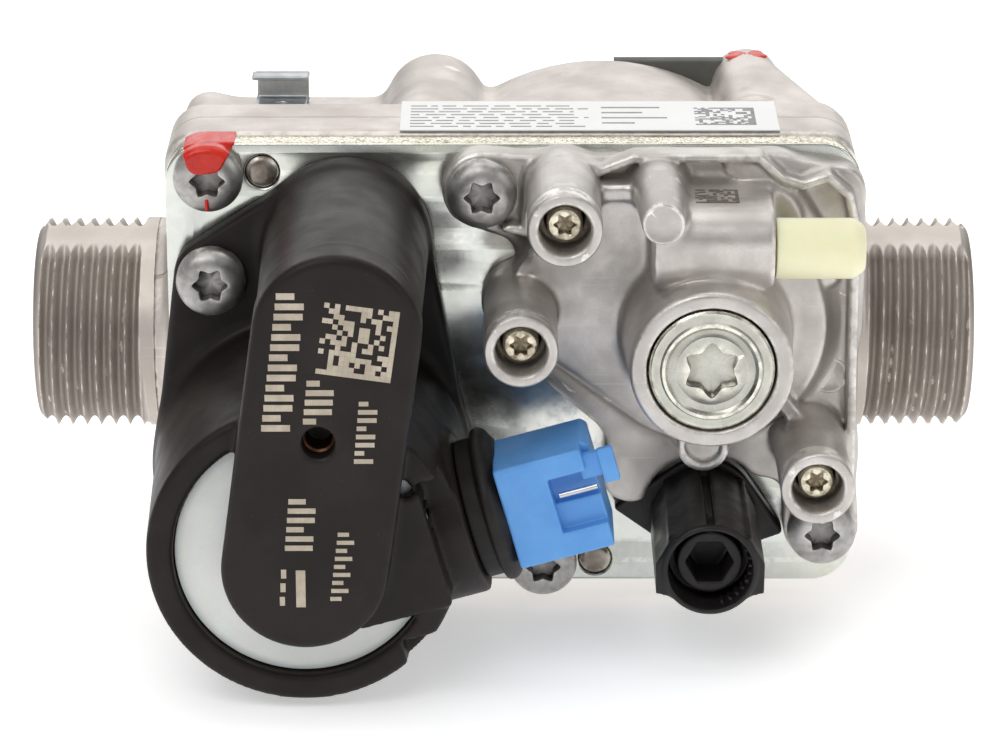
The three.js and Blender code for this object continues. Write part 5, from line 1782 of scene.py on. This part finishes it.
# ------------------------------------------------------------------ small pieces
@dataclass
class SmallPieces:
    """Earth tab, type label with generic print, seal lacquer and the inlet strainer."""

    label_low: Point3 = (-12.6, -15.7, 29.8)
    label_high: Point3 = (33.5, -3.3, 29.98)
    strainer_radius: float = 9.2
    strainer_pitch: float = 2.3
    strainer_hole: float = 0.62

    def tab(self) -> Shell:
        """A bent strip: a foot, a riser and a top lip, each a thin box, as one field.

        Returns:
            The surface.
        """
        lattice = Lattice((-33.0, 10.2, 23.6), (-24.0, 18.0, 28.8), 0.16)
        x, y, z = lattice.axes()
        foot = block(x, y, z, (-31.6, 11.0, 24.2), (-25.2, 17.0, 24.75), 0.1)
        riser = block(x, y, z, (-31.6, 16.4, 24.3), (-25.0, 17.0, 28.0), 0.15)
        lip = block(x, y, z, (-32.2, 14.4, 27.5), (-25.0, 17.0, 28.05), 0.2)
        hole = slab(disc_field(x, y, (-28.5, 13.6), 1.1), z, 24.0, 26.0)
        return lattice.skin(carved(merged(foot, riser, lip, blend=0.5), hole))

    def label(self) -> Shell:
        """A thin sheet with rounded corners and a slight lift at its edges.

        Returns:
            The surface.
        """
        n_x, n_y = 120, 36
        x = np.linspace(self.label_low[0], self.label_high[0], n_x)[:, None]
        y = np.linspace(self.label_low[1], self.label_high[1], n_y)[None, :]
        top = np.full((n_x, n_y), self.label_high[2])
        low = np.full((n_x, n_y), self.label_low[2] + 0.01)
        around_x, around_y = x + 0 * y, y + 0 * x
        points = np.concatenate([np.stack([around_x, around_y, h], -1).reshape(-1, 3) for h in (top, low)])
        index = np.arange(n_x * n_y).reshape(n_x, n_y)
        face = np.stack([index[:-1, :-1], index[1:, :-1], index[1:, 1:], index[:-1, 1:]], -1).reshape(-1, 4)
        under = face[:, ::-1] + n_x * n_y
        rim = np.concatenate([index[:, 0], index[-1, 1:], index[-2::-1, -1], index[0, -2:0:-1]])
        beside = np.roll(rim, -1)
        side = np.stack([rim, rim + n_x * n_y, beside + n_x * n_y, beside], 1)
        return Shell(points, np.concatenate([face, under, side]))

    def print_marks(self) -> Shell:
        """Grey bars in rows and a made-up code square, a hair proud of the label.

        Returns:
            The surface.
        """
        top = self.label_high[2]
        rng = np.random.default_rng(5)
        low, high = [], []
        for row, y in enumerate(np.arange(-14.4, -4.6, 1.25)):
            x = self.label_low[0] + 1.2
            end = 8.6 if row % 3 else 10.4
            while x < end:
                length = float(rng.uniform(0.8, 3.4))
                low.append((x, y, top))
                high.append((min(x + length, end), y + 0.36, top + 0.02))
                x += length + float(rng.uniform(0.5, 0.9))
        for x0, x1, y in ((12.0, 19.2, -6.4), (12.0, 17.0, -8.6), (12.0, 20.0, -10.8), (12.0, 16.0, -13.0)):
            low.append((x0, y, top))
            high.append((x1, y + 0.5, top + 0.02))
        made = slabs(np.array(low), np.array(high))
        square_low, square_high = code_square(17, 16, 7.4, 0.02)
        square = slabs(square_low, square_high)
        x, y, z = square.points.T.copy()
        square.points = np.stack([23.4 + x, -13.6 + z, top - y], axis=1)
        return made.joined(square)

    def lacquer(self, centre: Point3, radius: float, height: float, seed: int, squash: float = 1.0) -> Shell:
        """A drop of lacquer: a polar dome height (1 - r^2)^0.6 whose edge wobbles with seeded waves.

        Args:
            centre: Middle of its base.
            radius: Mean radius.
            height: Height at the middle, along Z.
            seed: Seed of the wobble.
            squash: Its extent in Y against that in X.

        Returns:
            The drop.
        """
        rng = np.random.default_rng(seed)
        angle = np.linspace(0.0, TAU, 72, endpoint=False)[None, :]
        rings = np.linspace(1.0, 0.0, 16)[:, None]
        wobble = 1.0 + sum(rng.uniform(0.02, 0.10) * np.sin(k * angle + rng.uniform(0, TAU)) for k in (2, 3, 5, 7))
        reach = radius * wobble * rings
        rise = height * np.maximum(1.0 - rings**2, 0.0) ** 0.6 * (1.0 + 0.12 * np.sin(3 * angle) * rings)
        x, y = centre[0] + reach * np.cos(angle), centre[1] + squash * reach * np.sin(angle)
        top = np.stack([x, y, centre[2] + rise], -1)
        base = np.stack([x, y, np.full(reach.shape, centre[2] - 0.15)], -1)[::-1]
        points = np.concatenate([base, top]).reshape(-1, 3)
        return Shell(points, grid_faces(2 * len(rings), angle.size))

    def dab(self) -> Shell:
        """Lacquer brushed over a screw head, the plate's edge and the casting, with a stroke on the head.

        It is the outer shell of those three forms, a fifth of a millimetre proud, kept within a round
        blot whose radius wobbles with the angle.

        Returns:
            The surface.
        """
        lattice = Lattice((-40.4, -23.6, 21.4), (-31.4, -14.6, 31.2), 0.15)
        x, y, z = lattice.axes()
        (cx, cz), seat = SCREWS["plate_screw_top"]
        head = slab(disc_field(x, z, (cx, cz), 4.4), y, seat - 2.98, seat, 0.95)
        edge = slab(outline_field(x, z, rectangle(-41.05, -27.35, 43.35, 29.75, 5.0)), y, -20.15, -15.2, 0.1)
        angle = np.arctan2(z - 29.4, x - cx + 0.2)
        wobble = 0.28 * np.sin(3.0 * angle + 0.4) + 0.2 * np.sin(5.0 * angle)
        blot = np.sqrt((x - cx + 0.2) ** 2 + (1.15 * (z - 29.4)) ** 2) - 3.2 - wobble
        painted = np.maximum(merged(head, edge, blend=0.5), blot)
        stroke = block(x, y, z, (cx - 0.35, seat - 2.9, 21.9), (cx + 0.15, seat - 1.2, 23.4), 0.15)
        return lattice.skin(np.maximum(merged(painted, stroke), y + 15.4))

    def strainer(self) -> Shell:
        """A cupped disc with a dense field of round holes, as a field along X.

        Returns:
            The surface.
        """
        lattice = Lattice((-50.2, -9.9, -9.9), (-44.9, 9.9, 9.9), 0.25)
        x, y, z = lattice.axes()
        across = np.hypot(y, z)
        disc = slab(across - self.strainer_radius, x, -49.5, -48.5, 0.15)
        rim = slab(np.maximum(across - self.strainer_radius, 8.2 - across), x, -49.5, -45.5, 0.15)
        pitch = self.strainer_pitch
        row = np.round(z / (pitch * 0.866))
        shift = (row % 2) * pitch / 2
        gap_y = (y - shift + pitch / 2) % pitch - pitch / 2
        holes = slab(np.hypot(gap_y, z - row * pitch * 0.866) - self.strainer_hole, x, -51.0, -47.0)
        holes = np.maximum(holes, across - 7.2)
        return lattice.skin(carved(merged(disc, rim, blend=0.3), holes, blend=0.1))

    def build(self) -> None:
        """Makes the small pieces."""
        paint = Dress("screw_steel", crease=60.0)
        make_piece("seal_lacquer_left", self.dab(), Finishes.seal_paint, paint)
        drop = self.lacquer((31.2, 17.2, 30.12), 2.5, 0.28, 8, 0.9)
        make_piece("seal_lacquer_right", drop, Finishes.seal_paint, paint)
        strip = Dress("zinc_plate", replaces=("earth_tab",), crease=60.0)
        make_piece("earth_strip", self.tab(), Finishes.tab, strip)
        make_piece("label_strip", self.label(), Finishes.paper, Dress("paper", replaces=("type_label",)))
        make_piece("label_print", self.print_marks(), Finishes.print_grey, Dress("paper"))
        strainer = Dress("core_steel", replaces=("inlet_strainer",), crease=60.0)
        make_piece("strainer_disc", self.strainer(), Finishes.core, strainer)


# ------------------------------------------------------------------ springs
@dataclass(frozen=True)
class SpringForm:
    """One valve spring: its node, its place, and its valve's joint and that joint's travel."""

    node: str
    centre: Point2
    radius: float
    wire: float
    turns: int
    front: float
    back: float
    joint: str
    travel: float


@dataclass
class Springs:
    """The four valve springs: each stands on its front end."""

    forms: tuple[SpringForm, ...] = (
        SpringForm("main_spring", MAIN, 8.7, 0.5, 6, -15.5, 0.88, "main_valve_open", 2.6),
        SpringForm("pilot_spring", PILOT, 5.3, 0.35, 6, -15.7, -6.1, "pilot_valve_open", 1.6),
        SpringForm("outlet_spring", OUTLET, 5.0, 0.6, 6, -16.2, 0.7, "outlet_valve_open", 3.1),
        SpringForm("servo_spring", SERVO, 4.0, 0.45, 6, -32.7, -23.2, "servo_disc_lift", 1.1),
    )

    @staticmethod
    def coil(form: SpringForm) -> Shell:
        """A round wire on a helix whose first and last turns close up.

        The wire's section at turn t is a circle of radius w about (R, Y(t)) at angle 2 pi t, where Y rises
        by 2.05 w in each end turn and evenly in between; w shrinks to 0 at both ends to close them.

        Args:
            form: The spring.

        Returns:
            The wire's surface.
        """
        w, turn = form.wire, np.linspace(0.0, form.turns, 28 * form.turns + 1)
        knots = [form.front + w, form.front + 3.05 * w, form.back - 3.05 * w, form.back - w]
        rise = np.interp(turn, [0.0, 1.0, form.turns - 1.0, form.turns], knots)
        turn, rise = (np.concatenate([c[:1], c, c[-1:]])[:, None] for c in (turn, rise))
        thick = np.full_like(turn, w)
        thick[[0, -1]] = 0.0
        round_wire = np.linspace(0.0, TAU, 12, endpoint=False)[None, :]
        reach = form.radius + thick * np.cos(round_wire)
        x = form.centre[0] + reach * np.cos(TAU * turn)
        z = form.centre[1] + reach * np.sin(TAU * turn)
        points = np.stack([x, rise + thick * np.sin(round_wire), z], axis=-1)
        return Shell(points.reshape(-1, 3), grid_faces(len(turn), round_wire.size))

    def build(self) -> None:
        """Makes the springs and gives each its own mesh."""
        for form in self.forms:
            dress = Dress("spring_steel", replaces=(form.node,), crease=60.0)
            made = make_piece(f"{form.node}_wire", self.coil(form), Finishes.wire, dress)
            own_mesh(made)


# ------------------------------------------------------------------ nodes kept from the frame
def dress_nodes(frame: dict) -> None:
    """Gives every frame node that is still shown the finish of its material slot.
    """
    by_slot = {
        "cast_aluminium": Finishes.casting, "zinc_plate": Finishes.zinc, "screw_steel": Finishes.screw,
        "core_steel": Finishes.core, "spring_steel": Finishes.wire, "coil_plastic": Finishes.coil,
        "throttle_plastic": Finishes.knob, "bobbin_plastic": Finishes.bobbin, "plug_plastic": Finishes.plug,
        "nylon": Finishes.nylon, "rubber": Finishes.seal, "brass": Finishes.brass, "copper": Finishes.copper,
        "paper": Finishes.paper,
    }
    for part in frame["record"]["subparts"]:
        node = frame["nodes"][part["node"]]
        if not node.hide_render:
            node.data.materials.clear()
            node.data.materials.append(by_slot[part["material_slot"]].material())
            LOG.info("%s: %s", part["node"], part["material_slot"])


# ------------------------------------------------------------------ studio
@dataclass
class Studio:
    """Pale floor, soft lights and the camera."""

    floor_z: float = -30.6
    lights: list[tuple[str, Point3, Point3, tuple[float, float], float]] = field(
        default_factory=lambda: [
            ("key", (-0.45, -0.75, 0.95), (0.0, 0.0, 0.0), (0.9, 0.7), 5.5),
            ("fill", (0.85, -0.55, 0.45), (0.0, 0.0, 0.0), (0.7, 0.7), 1.6),
            ("overhead", (0.0, 0.25, 1.1), (0.0, 0.0, 0.0), (1.4, 1.0), 5.8),
            ("behind", (0.1, 1.2, 0.55), (0.0, 0.0, 0.0), (1.6, 0.7), 4.5),
        ]
    )

    def floor(self) -> None:
        """A wide pale floor under the valve."""
        reach = 6000.0
        corners = ((-1, -1), (1, -1), (1, 1), (-1, 1))
        points = np.array([(sx * reach, sy * reach, self.floor_z) for sx, sy in corners])
        mesh = bpy.data.meshes.new("floor")
        mesh.from_pydata((points * MM).tolist(), [], [(0, 1, 2, 3)])
        made = bpy.data.objects.new("floor", mesh)
        bpy.context.scene.collection.objects.link(made)
        graph = Graph("pale_floor")
        tint = graph.mixed(graph.noise(60.0), (0.93, 0.93, 0.935), (0.90, 0.90, 0.905))
        graph.feed(graph.shader, Base_Color=tint, Roughness=0.9, Emission_Color=(1.0, 1.0, 1.0, 1.0),
                   Emission_Strength=0.45)
        mesh.materials.append(graph.material)

    def light(self) -> None:
        """Area lights aimed at the valve, and an even pale surround."""
        for name, place, aim, size, power in self.lights:
            lamp = bpy.data.lights.new(name, "AREA")
            lamp.shape, lamp.size, lamp.size_y, lamp.energy = "RECTANGLE", size[0], size[1], power
            made = bpy.data.objects.new(name, lamp)
            made.location = place
            made.rotation_euler = (Vector(aim) - Vector(place)).to_track_quat("-Z", "Y").to_euler()
            bpy.context.scene.collection.objects.link(made)
        world = bpy.data.worlds.new("surround")
        world.use_nodes = True
        world.node_tree.nodes["Background"].inputs["Color"].default_value = (0.99, 0.98, 0.96, 1.0)
        world.node_tree.nodes["Background"].inputs["Strength"].default_value = 0.30
        bpy.context.scene.world = world

    def camera(self) -> None:
        """A long lens in front of the valve, looking down 20 degrees."""
        lens = bpy.data.cameras.new("camera")
        lens.sensor_width, lens.lens, lens.clip_start, lens.clip_end = 36.0, 153.0, 0.01, 20.0
        made = bpy.data.objects.new("camera", lens)
        made.location = (-0.00044, -0.50979, 0.17821)
        made.rotation_euler = (math.radians(70.0), 0.0, 0.0)
        bpy.context.scene.collection.objects.link(made)
        bpy.context.scene.camera = made

    def build(self) -> None:
        """Makes the studio."""
        self.camera()
        self.floor()
        self.light()
        bpy.context.scene.view_settings.view_transform = "Standard"


def main() -> None:
    """Loads the frame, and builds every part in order."""
    logging.basicConfig(level=logging.INFO, format="%(name)s %(message)s")
    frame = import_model()
    for part in (Casting(), RearCover(), FrontSheets(), Fasteners(), Coil(), Connector(), ServoRegulator(),
                 Throttle(), SmallPieces(), Springs()):
        part.build()
    dress_nodes(frame)
    Studio().build()


if __name__ == "__main__":
    main()
